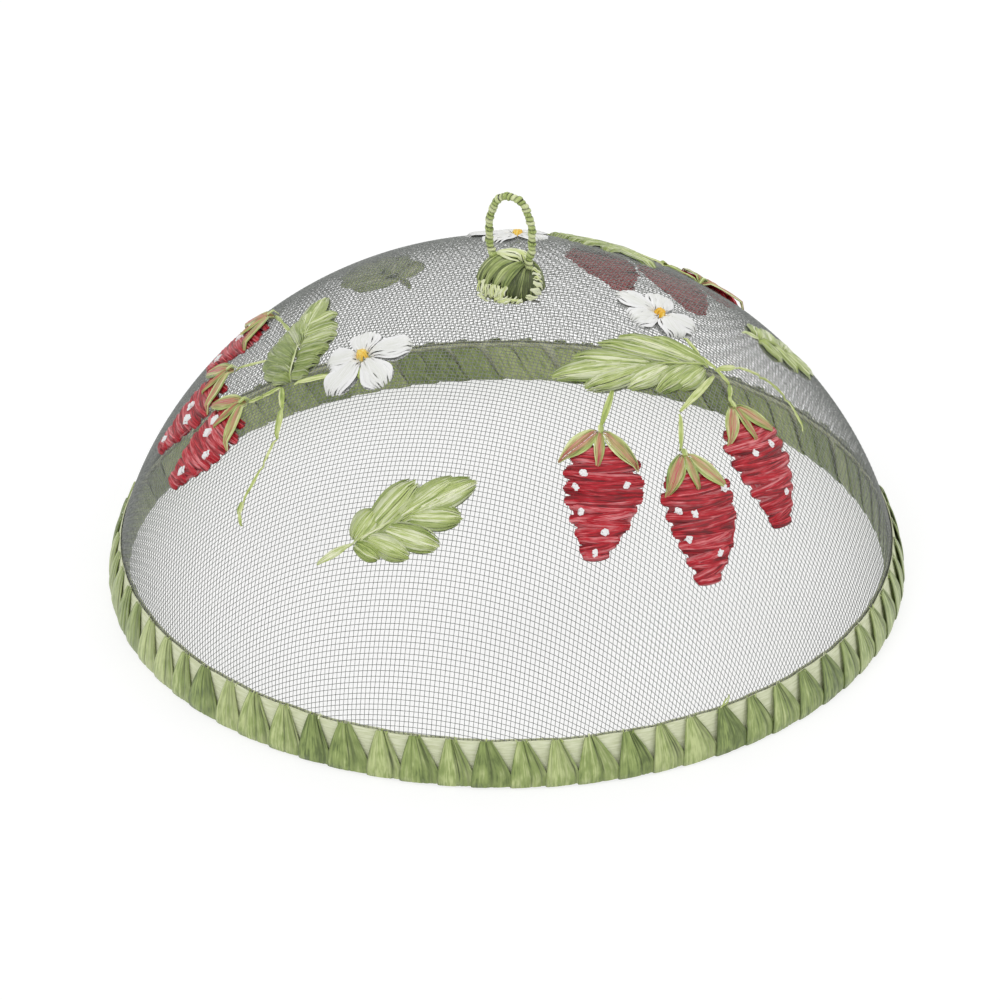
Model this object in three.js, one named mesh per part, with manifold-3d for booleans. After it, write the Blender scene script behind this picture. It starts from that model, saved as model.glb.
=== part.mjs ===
// Food cover: a dome of wire cloth with its rim bound and sewn over in raffia, a raffia loop
// handle on a raffia bun, and strawberry sprigs embroidered in raffia on the outside.
// Millimetres, +Z up. The origin is the middle of the circle that the rim rests on.
// An azimuth is in degrees, from -Y towards +X.

import * as THREE from "three";
import { mergeVertices } from "three/addons/utils/BufferGeometryUtils.js";
import Module from "manifold-3d";

const wasm = await Module();
wasm.setup();

// Fit between neighbouring pieces
const clearance = 0.3;
// What a cut may leave beside a piece, of the piece's own volume
const sliverShare = 0.002;
// How far a cut's smallest edges may be drawn together
const edgeTolerance = 0.02;
// How many times a span is halved to find a point on the dome
const pressSteps = 50;

// Dome of wire cloth: (r / domeRadius)^spreadPower + (z / domeHeight)^risePower = 1
const domeRadius = 175;
const domeHeight = 144.5;
const spreadPower = 2.144;
const risePower = 1.653;
const clothThickness = 0.7;
const domeSectors = 54;
const domeRings = 8;
// Fewer flats where the dome turns level: how far out, of domeRadius, and how many of domeSectors
const flatShares = [
  [0.93, 1],
  [0.6, 1 / 2],
  [0, 1 / 3],
];
const crownRingShare = 0.5;

// Openings in the cloth, many of its own to one. Two fans of planes cut them, each hinged on a
// line this deep under the rim. The grid is turned as the cloth lies, and keeps its middle closed.
const openingCount = 9;
const barWidth = 9;
const gridDepth = 200;
const gridTurn = -12.5;

// Rim: a steel ring just inside the cloth's edge, a folded binding, and raffia sewn over both
const ringDiameter = 2.4;
const ringSides = 5;
const bindingThickness = 0.45;
const bindingHeight = 21.2;
const wrapHeight = 21.7;
const wrapValleyHeight = 8.7;
const wrapBase = 0.9;
const wrapEdge = 0.5;
const wrapCrown = 1.1;
const wrapCrease = 0.6;
const stitchCount = 72;
// Where a fan stitch has its left foot and the two sides of its gathered top, of its pitch
const stitchShares = [0, 0.2, 0.5];

// Handle: a wire loop whose legs go through the bun, the cloth and a pad inside it
const handleTurn = 24;
const handleShift = 1.8;
const bunRadius = 15.3;
const bunHeight = 15.5;
const bunSpreadPower = 3;
const bunRisePower = 2;
const bunLobes = 9;
const bunLobeShare = 0.035;
const bunColumns = 27;
const padColumns = 15;
const bunRings = 6;
const padRadius = 12;
const padHeight = 2.5;
// The pad's widths under it and at its top edge, of its widest
const padUnderShare = 0.8;
const padTopShare = 0.9;
const wireDiameter = 1.2;
const wireSides = 6;
const wireSteps = 48;
const legSpacing = 17.4;
const loopWidth = 20.4;
const loopHeight = 29.2;
const footLength = 5;
// Where the leg bends into its foot: the bend's size, and how far its middle cuts the corner
const bendSize = 2.4;
const bendCorner = 0.36;
// Outline of half the loop, from its leg to its top: across of loopWidth / 2, up of loopHeight
const loopShares = [
  [0.96, 0.14],
  [1, 0.36],
  [0.93, 0.62],
  [0.66, 0.87],
  [0.33, 0.975],
];

// Raffia wound round the handle's wire
const windingTurns = 19;
const windingSteps = 8;
const windingWidth = 2.1;
const windingThickness = 0.6;
const windingPathRadius = 1.25;
// Section of the strip: across of half its width, up of half its thickness
const windingSectionShares = [
  [1, 0],
  [0.6, 1],
  [-0.6, 1],
  [-1, 0],
  [-0.6, -1],
  [0.6, -1],
];

// Embroidery: its thickness over the cloth and at its edges
const stitchThickness = 1.2;
const stitchEdge = 0.5;
const stemWidth = 2.6;
const stemEndWidth = 1.6;
const stemThickness = 0.9;
const stemTopShare = 0.6;
const cutReach = 3;
// Across a long relief, from edge to edge, of half its width
const acrossShares = [-1, -0.5, 0, 0.5, 1];
// Rings of a round relief, of its reach, and how high each one rises
const openRingShares = [0, 0.5, 1];
const openRiseShares = [0.6, 1, 0];
const closedRingShares = [0.5, 1];
const closedRiseShares = [1, 0];

// The embroidery is one layout over the dome, so the sizes of its motifs are shares of domeRadius
const berryWidthShare = 0.197;
const leafWidthShare = 0.189;
const sepalLengthShare = 0.137;
const petalLengthShare = 0.12;
const eyeRadiusShare = 0.0206;
const berryWidth = berryWidthShare * domeRadius;
const leafWidth = leafWidthShare * domeRadius;
const sepalLength = sepalLengthShare * domeRadius;
const petalLength = petalLengthShare * domeRadius;
const eyeRadius = eyeRadiusShare * domeRadius;

// Berry, from its calyx to its tip: how far along, and its half width of the widest
const berryShares = [
  [0.08, 0.08],
  [0.14, 0.2],
  [0.27, 0.6],
  [0.38, 1],
  [0.52, 0.86],
  [0.68, 0.66],
  [0.82, 0.46],
  [1, 0.12],
];

// Leaf, from its base to its tip, in the same way, with saw teeth where a share steps back
const leafShares = [
  [0, 0.1],
  [0.12, 0.42],
  [0.3, 0.92],
  [0.38, 0.8],
  [0.56, 1],
  [0.62, 0.82],
  [0.8, 0.78],
  [0.85, 0.5],
  [1, 0.1],
];
// A single leaf's stalk is a spindle: half widths at its end and its middle, of the leaf's widest
const stalkEndShare = 0.04;
const stalkMiddleShare = 0.14;

// Calyx: three sepals that spread from the stem, each with a shoulder, a tip and a shoulder
const sepalAngles = [-47, 0, 47];
const sepalShoulderAngle = 11;
const sepalShoulderShare = 0.72;
const sepalValleyShare = 0.42;
const calyxBackAngles = [90, 180, -90];
const calyxBackShare = 0.16;

// Flower: five petals round an eye
const petalCount = 5;
const petalShoulderShare = 0.9;
const petalShoulderTurnShare = 0.2;
const petalValleyShare = 0.36;
// How far the flower's flat axes reach from its middle, of its distance from the apex
const flowerAxisShare = 0.1;
const eyeHeight = 2.2;
const eyeSides = 6;
const eyeTopShare = 0.5;

// Sprigs: each place is an azimuth, counted from the sprig's own, and a share of domeRadius.
// A berry's spread scales its width, and its sepals too where they have no scale of their own.
const loosePlan = {
  leaf: { base: [0, 0.571], tip: [-37.3, 0.478], spread: 1 },
  flower: { middle: [11, 0.413], lean: 10 },
  berries: [
    { calyx: [-38.7, 0.618], tip: [-32.1, 0.775], spread: 0.9, sepals: 0.75 },
    { calyx: [-21.1, 0.682], tip: [-19.8, 0.877], spread: 0.96 },
    { calyx: [-5, 0.666], tip: [-6, 0.863], spread: 0.94 },
  ],
  stems: [
    [[0, 0.59], [6.5, 0.57], [9.8, 0.49], [10.6, 0.45]],
    [[0, 0.59], [-2, 0.63], [-4.6, 0.662]],
    [[0, 0.59], [-12, 0.64], [-20.5, 0.678]],
    [[0, 0.59], [-20, 0.66], [-30, 0.65], [-38.3, 0.62]],
    [[0, 0.59], [8, 0.63], [11.7, 0.662], [14.2, 0.727], [15.3, 0.796], [17.5, 0.819]],
  ],
};
const widePlan = {
  leaf: { base: [0, 0.525], tip: [-55, 0.365], spread: 1.04 },
  flower: { middle: [13.8, 0.381], lean: 14 },
  berries: [
    { calyx: [-46.7, 0.527], tip: [-56.3, 0.781], spread: 1 },
    { calyx: [-29.7, 0.632], tip: [-37, 0.856], spread: 1.04 },
    { calyx: [-8, 0.61], tip: [-17.5, 0.833], spread: 1.03 },
  ],
  stems: [
    [[0, 0.545], [1.2, 0.5], [6, 0.45]],
    [[0, 0.545], [-1.8, 0.585], [-7.6, 0.608]],
    [[0, 0.545], [-9, 0.545], [-22.2, 0.556], [-29.4, 0.628]],
    [[0, 0.545], [-16, 0.53], [-35, 0.49], [-46.2, 0.524]],
    [[0, 0.545], [6.6, 0.58], [9.9, 0.639], [9.4, 0.703], [5, 0.758]],
  ],
};
const sprigs = [
  { name: "left", azimuth: -70, plan: loosePlan },
  { name: "right", azimuth: 71.8, plan: widePlan },
  { name: "back", azimuth: 164, plan: loosePlan },
];
const looseLeaves = [
  { name: "front", stalk: [-34, 0.822], base: [-29.4, 0.776], tip: [-6.5, 0.62], spread: 0.95 },
  { name: "side", stalk: [98, 0.6], base: [99.6, 0.645], tip: [104, 0.82], spread: 0.85 },
  { name: "rear", stalk: [-163, 0.87], base: [-160.5, 0.83], tip: [-146, 0.68], spread: 0.85 },
];

// Finishes, as colour, roughness and metalness
const finishes = {
  cloth: [0x4a4b48, 0.5, 0.6],
  wire: [0x9a9a96, 0.35, 0.9],
  binding: [0xdfe6c0, 0.8, 0],
  raffia: [0x9caa5c, 0.45, 0],
  berry: [0xb8233a, 0.45, 0],
  petal: [0xf4f4ee, 0.4, 0],
  eye: [0xf6b82c, 0.5, 0],
};

// Geometry of the dome

function radiusAt(height) {
  return domeRadius * (1 - (height / domeHeight) ** risePower) ** (1 / spreadPower);
}

function heightAt(radius) {
  return domeHeight * (1 - (radius / domeRadius) ** spreadPower) ** (1 / risePower);
}

// Outward direction of the dome at a radius and a height.
function slopeAt(radius, height) {
  const across = (spreadPower / domeRadius) * (radius / domeRadius) ** (spreadPower - 1);
  const up = (risePower / domeHeight) * (height / domeHeight) ** (risePower - 1);
  return new THREE.Vector2(across, up).normalize();
}

// A point at an azimuth, a radius from the axis and a height.
function around(azimuth, radius, height) {
  const angle = THREE.MathUtils.degToRad(azimuth);
  return new THREE.Vector3(radius * Math.sin(angle), -radius * Math.cos(angle), height);
}

function onDome([azimuth, radiusShare]) {
  const radius = radiusShare * domeRadius;
  return around(azimuth, radius, heightAt(radius));
}

function outwardAt(point) {
  const radius = Math.hypot(point.x, point.y);
  const slope = slopeAt(radius, point.z);
  const across = slope.x / Math.max(radius, Number.EPSILON);
  return new THREE.Vector3(point.x * across, point.y * across, slope.y);
}

// Moves a point onto the dome, straight towards or away from the origin, by halving.
function press(point) {
  const radius = Math.hypot(point.x, point.y) / domeRadius;
  const height = Math.max(point.z, 0) / domeHeight;
  let low = 0;
  let high = 1 / Math.max(radius, height);
  for (let step = 0; step < pressSteps; step += 1) {
    const middle = (low + high) / 2;
    const inside = (middle * radius) ** spreadPower + (middle * height) ** risePower < 1;
    if (inside) low = middle;
    else high = middle;
  }
  return point.clone().multiplyScalar(low);
}

function lift(point, distance) {
  return point.clone().addScaledVector(outwardAt(point), distance);
}

// Solids

function geometryOf(positions, index) {
  const geometry = new THREE.BufferGeometry();
  geometry.setAttribute("position", new THREE.Float32BufferAttribute(positions, 3));
  geometry.setIndex(index);
  return geometry;
}

// A closed geometry as a solid, with its faces turned outwards.
function solidOf(geometry) {
  const bare = geometry.clone();
  bare.deleteAttribute("normal");
  bare.deleteAttribute("uv");
  const merged = mergeVertices(bare);
  const corners = Array.from(merged.index.array);
  const faces = [];
  for (let at = 0; at < corners.length; at += 3) {
    const [a, b, c] = corners.slice(at, at + 3);
    if (a !== b && b !== c && c !== a) faces.push([a, b, c]);
  }
  const make = (list) =>
    new wasm.Manifold(
      new wasm.Mesh({
        numProp: 3,
        vertProperties: new Float32Array(merged.attributes.position.array),
        triVerts: new Uint32Array(list.flat()),
      }),
    );
  const made = make(faces);
  return made.volume() < 0 ? make(faces.map(([a, b, c]) => [a, c, b])) : made;
}

// The one body of a piece. A cut may leave slivers beside it, but a piece in two is an error.
function mainBody(name, solid) {
  const [body, ...rest] = solid.decompose().sort((a, b) => b.volume() - a.volume());
  const beside = rest.reduce((sum, one) => sum + one.volume(), 0);
  if (beside > body.volume() * sliverShare) {
    throw new Error(name + " is in pieces, with " + beside.toFixed(1) + " mm3 beside its body");
  }
  return body.asOriginal().simplify(edgeTolerance);
}

function toGeometry(solid) {
  const mesh = solid.getMesh();
  return geometryOf(Array.from(mesh.vertProperties), Array.from(mesh.triVerts));
}

// A skin over loops of an even number of points, either joined end to end or closed at each
// end by a strip between the two halves of its loop.
function skin(loops, joined) {
  const size = loops[0].length;
  const positions = loops.flat().flatMap((point) => point.toArray());
  const index = [];
  const bands = joined ? loops.length : loops.length - 1;
  for (let row = 0; row < bands; row += 1) {
    const next = (row + 1) % loops.length;
    for (let column = 0; column < size; column += 1) {
      const beside = (column + 1) % size;
      const a = row * size + column;
      const b = row * size + beside;
      const c = next * size + beside;
      const d = next * size + column;
      index.push(a, b, c, a, c, d);
    }
  }
  if (!joined) {
    const last = (loops.length - 1) * size;
    for (let column = 0; column < size / 2 - 1; column += 1) {
      const opposite = size - 1 - column;
      index.push(column, opposite - 1, column + 1);
      index.push(column, opposite, opposite - 1);
      index.push(last + column, last + column + 1, last + opposite - 1);
      index.push(last + column, last + opposite - 1, last + opposite);
    }
  }
  return solidOf(geometryOf(positions, index));
}

// A profile of radius and height turned round the axis, with azimuth zero at -Y.
function turned(profile, sectors) {
  return solidOf(new THREE.LatheGeometry(profile, sectors).rotateX(Math.PI / 2));
}

// The band between two rings of points that may differ in number, by going round both at once.
function band(first, count, second, others) {
  const index = [];
  let a = 0;
  let b = 0;
  while (a < count || b < others) {
    const near = first + (a % count);
    const far = second + (b % others);
    if (b === others || (a < count && (a + 1) / count <= (b + 1) / others)) {
      a += 1;
      index.push(near, first + (a % count), far);
    } else {
      b += 1;
      index.push(near, second + (b % others), far);
    }
  }
  return index;
}

// A profile that starts and ends on the axis, turned with a number of flats for each radius.
function turnedIn(profile, sectorsAt) {
  const positions = [];
  const index = [];
  let before = 0;
  let first = 0;
  profile.forEach(({ x, y }) => {
    const sectors = x > 0 ? sectorsAt(x) : 1;
    const start = positions.length / 3;
    for (let sector = 0; sector < sectors; sector += 1) {
      positions.push(...around((360 * sector) / sectors, x, y).toArray());
    }
    if (before > 0) index.push(...band(first, before, start, sectors));
    before = sectors;
    first = start;
  });
  return solidOf(geometryOf(positions, index));
}

// A round body with lobes, from a profile that starts and ends on its axis.
function lobed(profile, columns, swellAt) {
  const rings = profile.slice(1, -1);
  const positions = [0, 0, profile[0].y];
  rings.forEach((point) => {
    for (let column = 0; column < columns; column += 1) {
      const azimuth = (360 * column) / columns;
      positions.push(...around(azimuth, point.x * swellAt(azimuth), point.y).toArray());
    }
  });
  positions.push(0, 0, profile[profile.length - 1].y);
  const top = rings.length * columns + 1;
  const index = [];
  for (let column = 0; column < columns; column += 1) {
    const beside = (column + 1) % columns;
    index.push(0, 1 + beside, 1 + column);
    for (let ring = 0; ring < rings.length - 1; ring += 1) {
      const low = 1 + ring * columns;
      const high = low + columns;
      index.push(low + column, low + beside, high + beside);
      index.push(low + column, high + beside, high + column);
    }
    const last = top - columns;
    index.push(last + column, last + beside, top);
  }
  return solidOf(geometryOf(positions, index));
}

function meshOf(name, finish, solid) {
  const [color, roughness, metalness] = finishes[finish];
  const material = new THREE.MeshStandardMaterial({ color, roughness, metalness });
  const mesh = new THREE.Mesh(toGeometry(mainBody(name, solid)), material);
  mesh.name = name;
  return mesh;
}

// Handle

const handleMiddle = new THREE.Vector3(handleShift, 0, 0);
const bunSeat = clothThickness / 2 + clearance;
const loopFoot = domeHeight + bunHeight - clearance;

// The handle's own plane: across is along its legs' spacing, up is the height.
function inHandlePlane(across, up) {
  return around(90 - handleTurn, across, up).add(handleMiddle);
}

const handlePlaneNormal = around(-handleTurn, domeRadius, 0).normalize();

function legCutters() {
  const radius = wireDiameter / 2 + clearance;
  const length = domeHeight;
  return [-1, 1].map((side) => {
    const leg = inHandlePlane((side * legSpacing) / 2, domeHeight);
    const bore = new THREE.CylinderGeometry(radius, radius, length, wireSides);
    bore.rotateX(Math.PI / 2).translate(leg.x, leg.y, leg.z);
    return solidOf(bore);
  });
}

function bunProfile() {
  const profile = [new THREE.Vector2(0, domeHeight + bunSeat)];
  const outer = bunRadius * (1 + bunLobeShare);
  profile.push(new THREE.Vector2(bunRadius, heightAt(outer) + bunSeat));
  for (let ring = 1; ring <= bunRings; ring += 1) {
    const angle = (Math.PI / 2) * (ring / bunRings);
    const radius = bunRadius * Math.cos(angle) ** (2 / bunSpreadPower);
    const height = bunHeight * Math.sin(angle) ** (2 / bunRisePower);
    profile.push(new THREE.Vector2(ring < bunRings ? radius : 0, domeHeight + height));
  }
  return profile;
}

function handleBun() {
  const turn = THREE.MathUtils.degToRad(bunLobes);
  const swell = (azimuth) => 1 + bunLobeShare * Math.cos(azimuth * turn);
  const bun = lobed(bunProfile(), bunColumns, swell).translate(handleMiddle.toArray());
  return legCutters().reduce((left, leg) => left.subtract(leg), bun);
}

// A pad inside the dome, under the bun, that takes the wire's two legs.
function innerPad() {
  const top = -bunSeat;
  const drop = (radius) => heightAt(radius + handleShift);
  const profile = [
    new THREE.Vector2(0, domeHeight + top - padHeight),
    new THREE.Vector2(padRadius * padUnderShare, drop(padRadius) + top - padHeight),
    new THREE.Vector2(padRadius, drop(padRadius) + top - padHeight / 2),
    new THREE.Vector2(padRadius * padTopShare, drop(padRadius) + top),
    new THREE.Vector2(0, drop(padRadius / 2) + top),
  ];
  const pad = lobed(profile, padColumns, () => 1).translate(handleMiddle.toArray());
  return legCutters().reduce((left, leg) => left.subtract(leg), pad);
}

// The wire's middle line: a foot bent over under the pad, a leg, the loop, and the same back.
function wirePoints() {
  const half = legSpacing / 2;
  const padUnder = heightAt(padRadius + handleShift) - bunSeat - padHeight;
  const low = padUnder - clearance - wireDiameter / 2;
  const side = [
    [half + footLength, low],
    [half + bendSize, low],
    [half + bendCorner, low + bendCorner],
    [half, low + bendSize],
    [half, domeHeight],
    [half, loopFoot],
    ...loopShares.map(([across, up]) => [(across * loopWidth) / 2, loopFoot + up * loopHeight]),
  ];
  const back = side.map(([across, up]) => [-across, up]).reverse();
  return [...side, [0, loopFoot + loopHeight], ...back];
}

function wireCurve(points) {
  const path = points.map(([across, up]) => inHandlePlane(across, up));
  return new THREE.CatmullRomCurve3(path, false, "centripetal");
}

function circleLoop(middle, first, second, radius, sides) {
  const loop = [];
  for (let side = 0; side < sides; side += 1) {
    const angle = (2 * Math.PI * side) / sides;
    const point = middle.clone().addScaledVector(first, radius * Math.cos(angle));
    loop.push(point.addScaledVector(second, radius * Math.sin(angle)));
  }
  return loop;
}

function handleWire() {
  const curve = wireCurve(wirePoints());
  const loops = [];
  for (let step = 0; step <= wireSteps; step += 1) {
    const share = step / wireSteps;
    const inward = curve.getTangentAt(share).cross(handlePlaneNormal).normalize();
    const middle = curve.getPointAt(share);
    loops.push(circleLoop(middle, inward, handlePlaneNormal, wireDiameter / 2, wireSides));
  }
  return skin(loops, false);
}

// The loop above the bun, from one leg to the other.
function loopCurve() {
  return wireCurve(wirePoints().filter(([, up]) => up >= loopFoot));
}

// The winding's ends run straight along the wire, and start a little way up it.
const windingStraight = windingWidth;
const windingInset = 2 * clearance;

// Middle line of the winding: straight along the wire, round it, and straight again.
function windingPoint(curve, length, run) {
  const wound = length - 2 * windingStraight;
  const share = THREE.MathUtils.clamp((run - windingStraight) / wound, 0, 1);
  const at = THREE.MathUtils.lerp(windingInset, length - windingInset, run / length) / length;
  const angle = 2 * Math.PI * windingTurns * share;
  const inward = curve.getTangentAt(at).cross(handlePlaneNormal).normalize();
  const radial = inward.multiplyScalar(Math.cos(angle));
  radial.addScaledVector(handlePlaneNormal, Math.sin(angle));
  const middle = curve.getPointAt(at).addScaledVector(radial, windingPathRadius);
  return { middle, radial };
}

function windingLoop(curve, length, run, nudge) {
  const { middle, radial } = windingPoint(curve, length, run);
  const before = windingPoint(curve, length, Math.max(run - nudge, 0)).middle;
  const after = windingPoint(curve, length, Math.min(run + nudge, length)).middle;
  const width = after.sub(before).cross(radial).normalize();
  return windingSectionShares.map(([across, up]) => {
    const point = middle.clone().addScaledVector(width, (across * windingWidth) / 2);
    return point.addScaledVector(radial, (up * windingThickness) / 2);
  });
}

// The least distance between points of the winding that lie almost a turn or more apart.
function leastGap(loops) {
  let least = Infinity;
  loops.forEach((loop, row) => {
    const others = loops.slice(row + windingSteps - 1).flat();
    loop.forEach((point) => {
      const gaps = others.map((other) => point.distanceTo(other));
      least = Math.min(least, ...gaps);
    });
  });
  return least;
}

function handleWrap() {
  const curve = loopCurve();
  const length = curve.getLength();
  const steps = windingTurns * windingSteps;
  const wound = length - 2 * windingStraight;
  const nudge = wound / steps / 2;
  const loops = [windingLoop(curve, length, 0, nudge)];
  for (let step = 0; step <= steps; step += 1) {
    const run = windingStraight + (wound * step) / steps;
    loops.push(windingLoop(curve, length, run, nudge));
  }
  loops.push(windingLoop(curve, length, length, nudge));
  console.log("least gap between the winding's turns, mm: " + leastGap(loops).toFixed(2));
  return skin(loops, false);
}

// Dome and rim

const ringLow = wrapBase + bindingThickness + 2 * clearance;
const ringMiddle = ringLow + ringDiameter / 2;
const ringTop = ringLow + ringDiameter + clearance;

function clothPoint(angle, offset) {
  const radius = domeRadius * Math.cos(angle) ** (2 / spreadPower);
  const height = domeHeight * Math.sin(angle) ** (2 / risePower);
  const slope = slopeAt(radius, height);
  return new THREE.Vector2(radius + slope.x * offset, height + slope.y * offset);
}

// The two sides of an opening, as slopes of the planes that cut them, and the one nearer 0.
function openingSides(at, edge) {
  const pitch = (2 * edge) / openingCount;
  const half = (pitch - barWidth / (domeHeight + gridDepth)) / 2;
  const low = Math.tan(at * pitch - half);
  const high = Math.tan(at * pitch + half);
  return { low, high, near: Math.max(low, -high, 0) };
}

// One opening's cut, from over the rim's raffia to over the apex.
function openingCutter(across, along) {
  const corners = [
    [across.low, along.low],
    [across.high, along.low],
    [across.high, along.high],
    [across.low, along.high],
  ];
  const loops = [wrapHeight + barWidth / 2, domeHeight + cutReach].map((height) => {
    const reach = height + gridDepth;
    return corners.map(([x, y]) => new THREE.Vector3(x * reach, y * reach, height));
  });
  return skin(loops, false).rotate([0, 0, gridTurn]);
}

// Cuts for the openings that are at least a bar's width high over their lower edge.
function openingCutters() {
  const low = wrapHeight + barWidth / 2;
  const edge = Math.atan(radiusAt(low) / (low + gridDepth));
  const last = (openingCount - 1) / 2;
  const sides = [];
  for (let at = -last; at <= last; at += 1) sides.push(openingSides(at, edge));
  const high = low + barWidth;
  const reach = radiusAt(high) / (high + gridDepth);
  return sides.flatMap((across) =>
    sides
      .filter((along) => across.low * across.high > 0 || along.low * along.high > 0)
      .filter((along) => Math.hypot(across.near, along.near) < reach)
      .map((along) => openingCutter(across, along)),
  );
}

// The cloth as a thin shell with openings, from the ring up to the apex and back inside.
function meshDome() {
  const start = Math.asin((ringLow / domeHeight) ** (risePower / 2));
  const angles = [];
  for (let ring = 0; ring < domeRings; ring += 1) {
    angles.push(start + (Math.PI / 2 - start) * (ring / domeRings));
  }
  angles.push(THREE.MathUtils.lerp(angles[domeRings - 1], Math.PI / 2, crownRingShare));
  const half = clothThickness / 2;
  const outer = angles.map((angle) => clothPoint(angle, half));
  const inner = angles.map((angle) => clothPoint(angle, -half)).reverse();
  const profile = [
    new THREE.Vector2(0, domeHeight - half),
    ...inner,
    ...outer,
    new THREE.Vector2(0, domeHeight + half),
  ];
  const sectorsAt = (radius) =>
    domeSectors * flatShares.find(([share]) => radius > share * domeRadius)[1];
  const shell = turnedIn(profile, sectorsAt);
  return without(shell, [...legCutters(), ...openingCutters()]);
}

function rimWire() {
  const middle = radiusAt(ringMiddle) - clothThickness / 2 - clearance - ringDiameter / 2;
  const profile = [];
  for (let side = 0; side <= ringSides; side += 1) {
    const angle = (2 * Math.PI * side) / ringSides;
    const radius = middle + (ringDiameter / 2) * Math.cos(angle);
    profile.push(new THREE.Vector2(radius, ringMiddle + (ringDiameter / 2) * Math.sin(angle)));
  }
  return turned(profile, domeSectors);
}

// How far the binding's faces lie from the middle of the cloth, outside and inside the dome.
const bindingNear = clothThickness / 2 + clearance;
const bindingFar = bindingNear + bindingThickness;
const foldNear = bindingNear + ringDiameter + clearance;
const foldFar = foldNear + bindingThickness;
// How far the middle of one flat of the binding lies inside its round line.
const flatSag = domeRadius * (1 - Math.cos(Math.PI / domeSectors));

function besideCloth(height, offset) {
  return new THREE.Vector2(radiusAt(height) + offset, height);
}

function rimBinding() {
  const middle = (bindingHeight + ringMiddle) / 2;
  const low = wrapBase + clearance;
  const edge = radiusAt(ringMiddle);
  const profile = [
    besideCloth(bindingHeight, bindingNear),
    besideCloth(middle, bindingNear),
    new THREE.Vector2(edge + bindingNear, low + bindingThickness),
    new THREE.Vector2(edge - foldNear, low + bindingThickness),
    besideCloth(ringTop, -foldNear),
    besideCloth(bindingHeight, -bindingNear),
    besideCloth(bindingHeight, -bindingFar),
    besideCloth(ringTop, -foldFar),
    new THREE.Vector2(edge - foldFar, low),
    new THREE.Vector2(edge + bindingFar, low),
    besideCloth(middle, bindingFar),
    besideCloth(bindingHeight, bindingFar),
  ];
  return turned([...profile, profile[0].clone()], domeSectors);
}

// The raffia's inner face follows the binding from the ring up to the binding's top.
function innerOffset(height) {
  const share = THREE.MathUtils.clamp((height - ringTop) / (bindingHeight - ringTop), 0, 1);
  return -(clearance + flatSag + THREE.MathUtils.lerp(foldFar, bindingFar, share));
}

// Section of the rim's raffia: a pocket round the binding, with its top at the given height.
function wrapSection(azimuth, top, crown) {
  const near = bindingFar + clearance;
  const deep = foldFar + clearance + flatSag;
  const edge = radiusAt(ringMiddle);
  const middle = (top + ringMiddle) / 2;
  const section = [
    besideCloth(top, near),
    besideCloth(top, near + wrapEdge),
    besideCloth(middle, near + crown),
    new THREE.Vector2(edge + near + crown, ringMiddle),
    new THREE.Vector2(edge + near, 0),
    new THREE.Vector2(edge - deep, 0),
    new THREE.Vector2(edge - deep - crown, ringMiddle),
    besideCloth(top, innerOffset(top) - wrapEdge),
    besideCloth(top, innerOffset(top)),
    besideCloth(ringTop, -deep),
    new THREE.Vector2(edge - deep, wrapBase),
    new THREE.Vector2(edge + near, wrapBase),
    besideCloth(middle, near),
  ];
  return section.map((point) => around(azimuth, point.x, point.y));
}

// Raffia sewn over the rim: each stitch is gathered at its hole and fans out to its neighbours.
function rimWrap() {
  const loops = [];
  const pitch = 360 / stitchCount;
  for (let stitch = 0; stitch < stitchCount; stitch += 1) {
    stitchShares.forEach((share) => {
      const valley = share === 0;
      const top = valley ? wrapValleyHeight : wrapHeight;
      loops.push(wrapSection((stitch + share) * pitch, top, valley ? wrapCrease : wrapCrown));
    });
  }
  return skin(loops, true);
}

// Embroidery

// A cutter is the same form, grown by the clearance and reaching through its neighbours.
function levels(cutter, share) {
  const seat = clothThickness / 2 + clearance;
  const top = seat + THREE.MathUtils.lerp(stitchEdge, stitchThickness, share);
  return cutter ? [clothThickness / 2, seat + cutReach] : [seat, top];
}

// Flat axes that touch the dome halfway between two places, with y from the first to the second.
function chartBetween(head, tail) {
  const start = onDome(head);
  const end = onDome(tail);
  const origin = press(start.clone().add(end).divideScalar(2));
  const normal = outwardAt(origin);
  const along = end.clone().sub(start);
  const length = along.length();
  along.addScaledVector(normal, -along.dot(normal)).normalize();
  const side = along.clone().cross(normal).normalize();
  const at = (x, y) => {
    const flat = origin.clone().addScaledVector(side, x);
    return press(flat.addScaledVector(along, y - length / 2));
  };
  return { at, length };
}

// A long relief: its half widths are shares of a width, at shares of the way along its chart.
function longRelief(head, tail, width, shares, cutter) {
  const { at, length } = chartBetween(head, tail);
  const grow = cutter ? clearance : 0;
  const loops = shares.map(([along, spread], row) => {
    const ends = row === 0 ? -grow : row === shares.length - 1 ? grow : 0;
    const places = acrossShares.map((share) => {
      const x = share * ((spread * width) / 2 + grow);
      return { point: at(x, along * length + ends), rise: 1 - share * share };
    });
    const low = places.map(({ point, rise }) => lift(point, levels(cutter, rise)[0]));
    const high = places.map(({ point, rise }) => lift(point, levels(cutter, rise)[1]));
    return [...low, ...high.reverse()];
  });
  return skin(loops, false);
}

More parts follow.
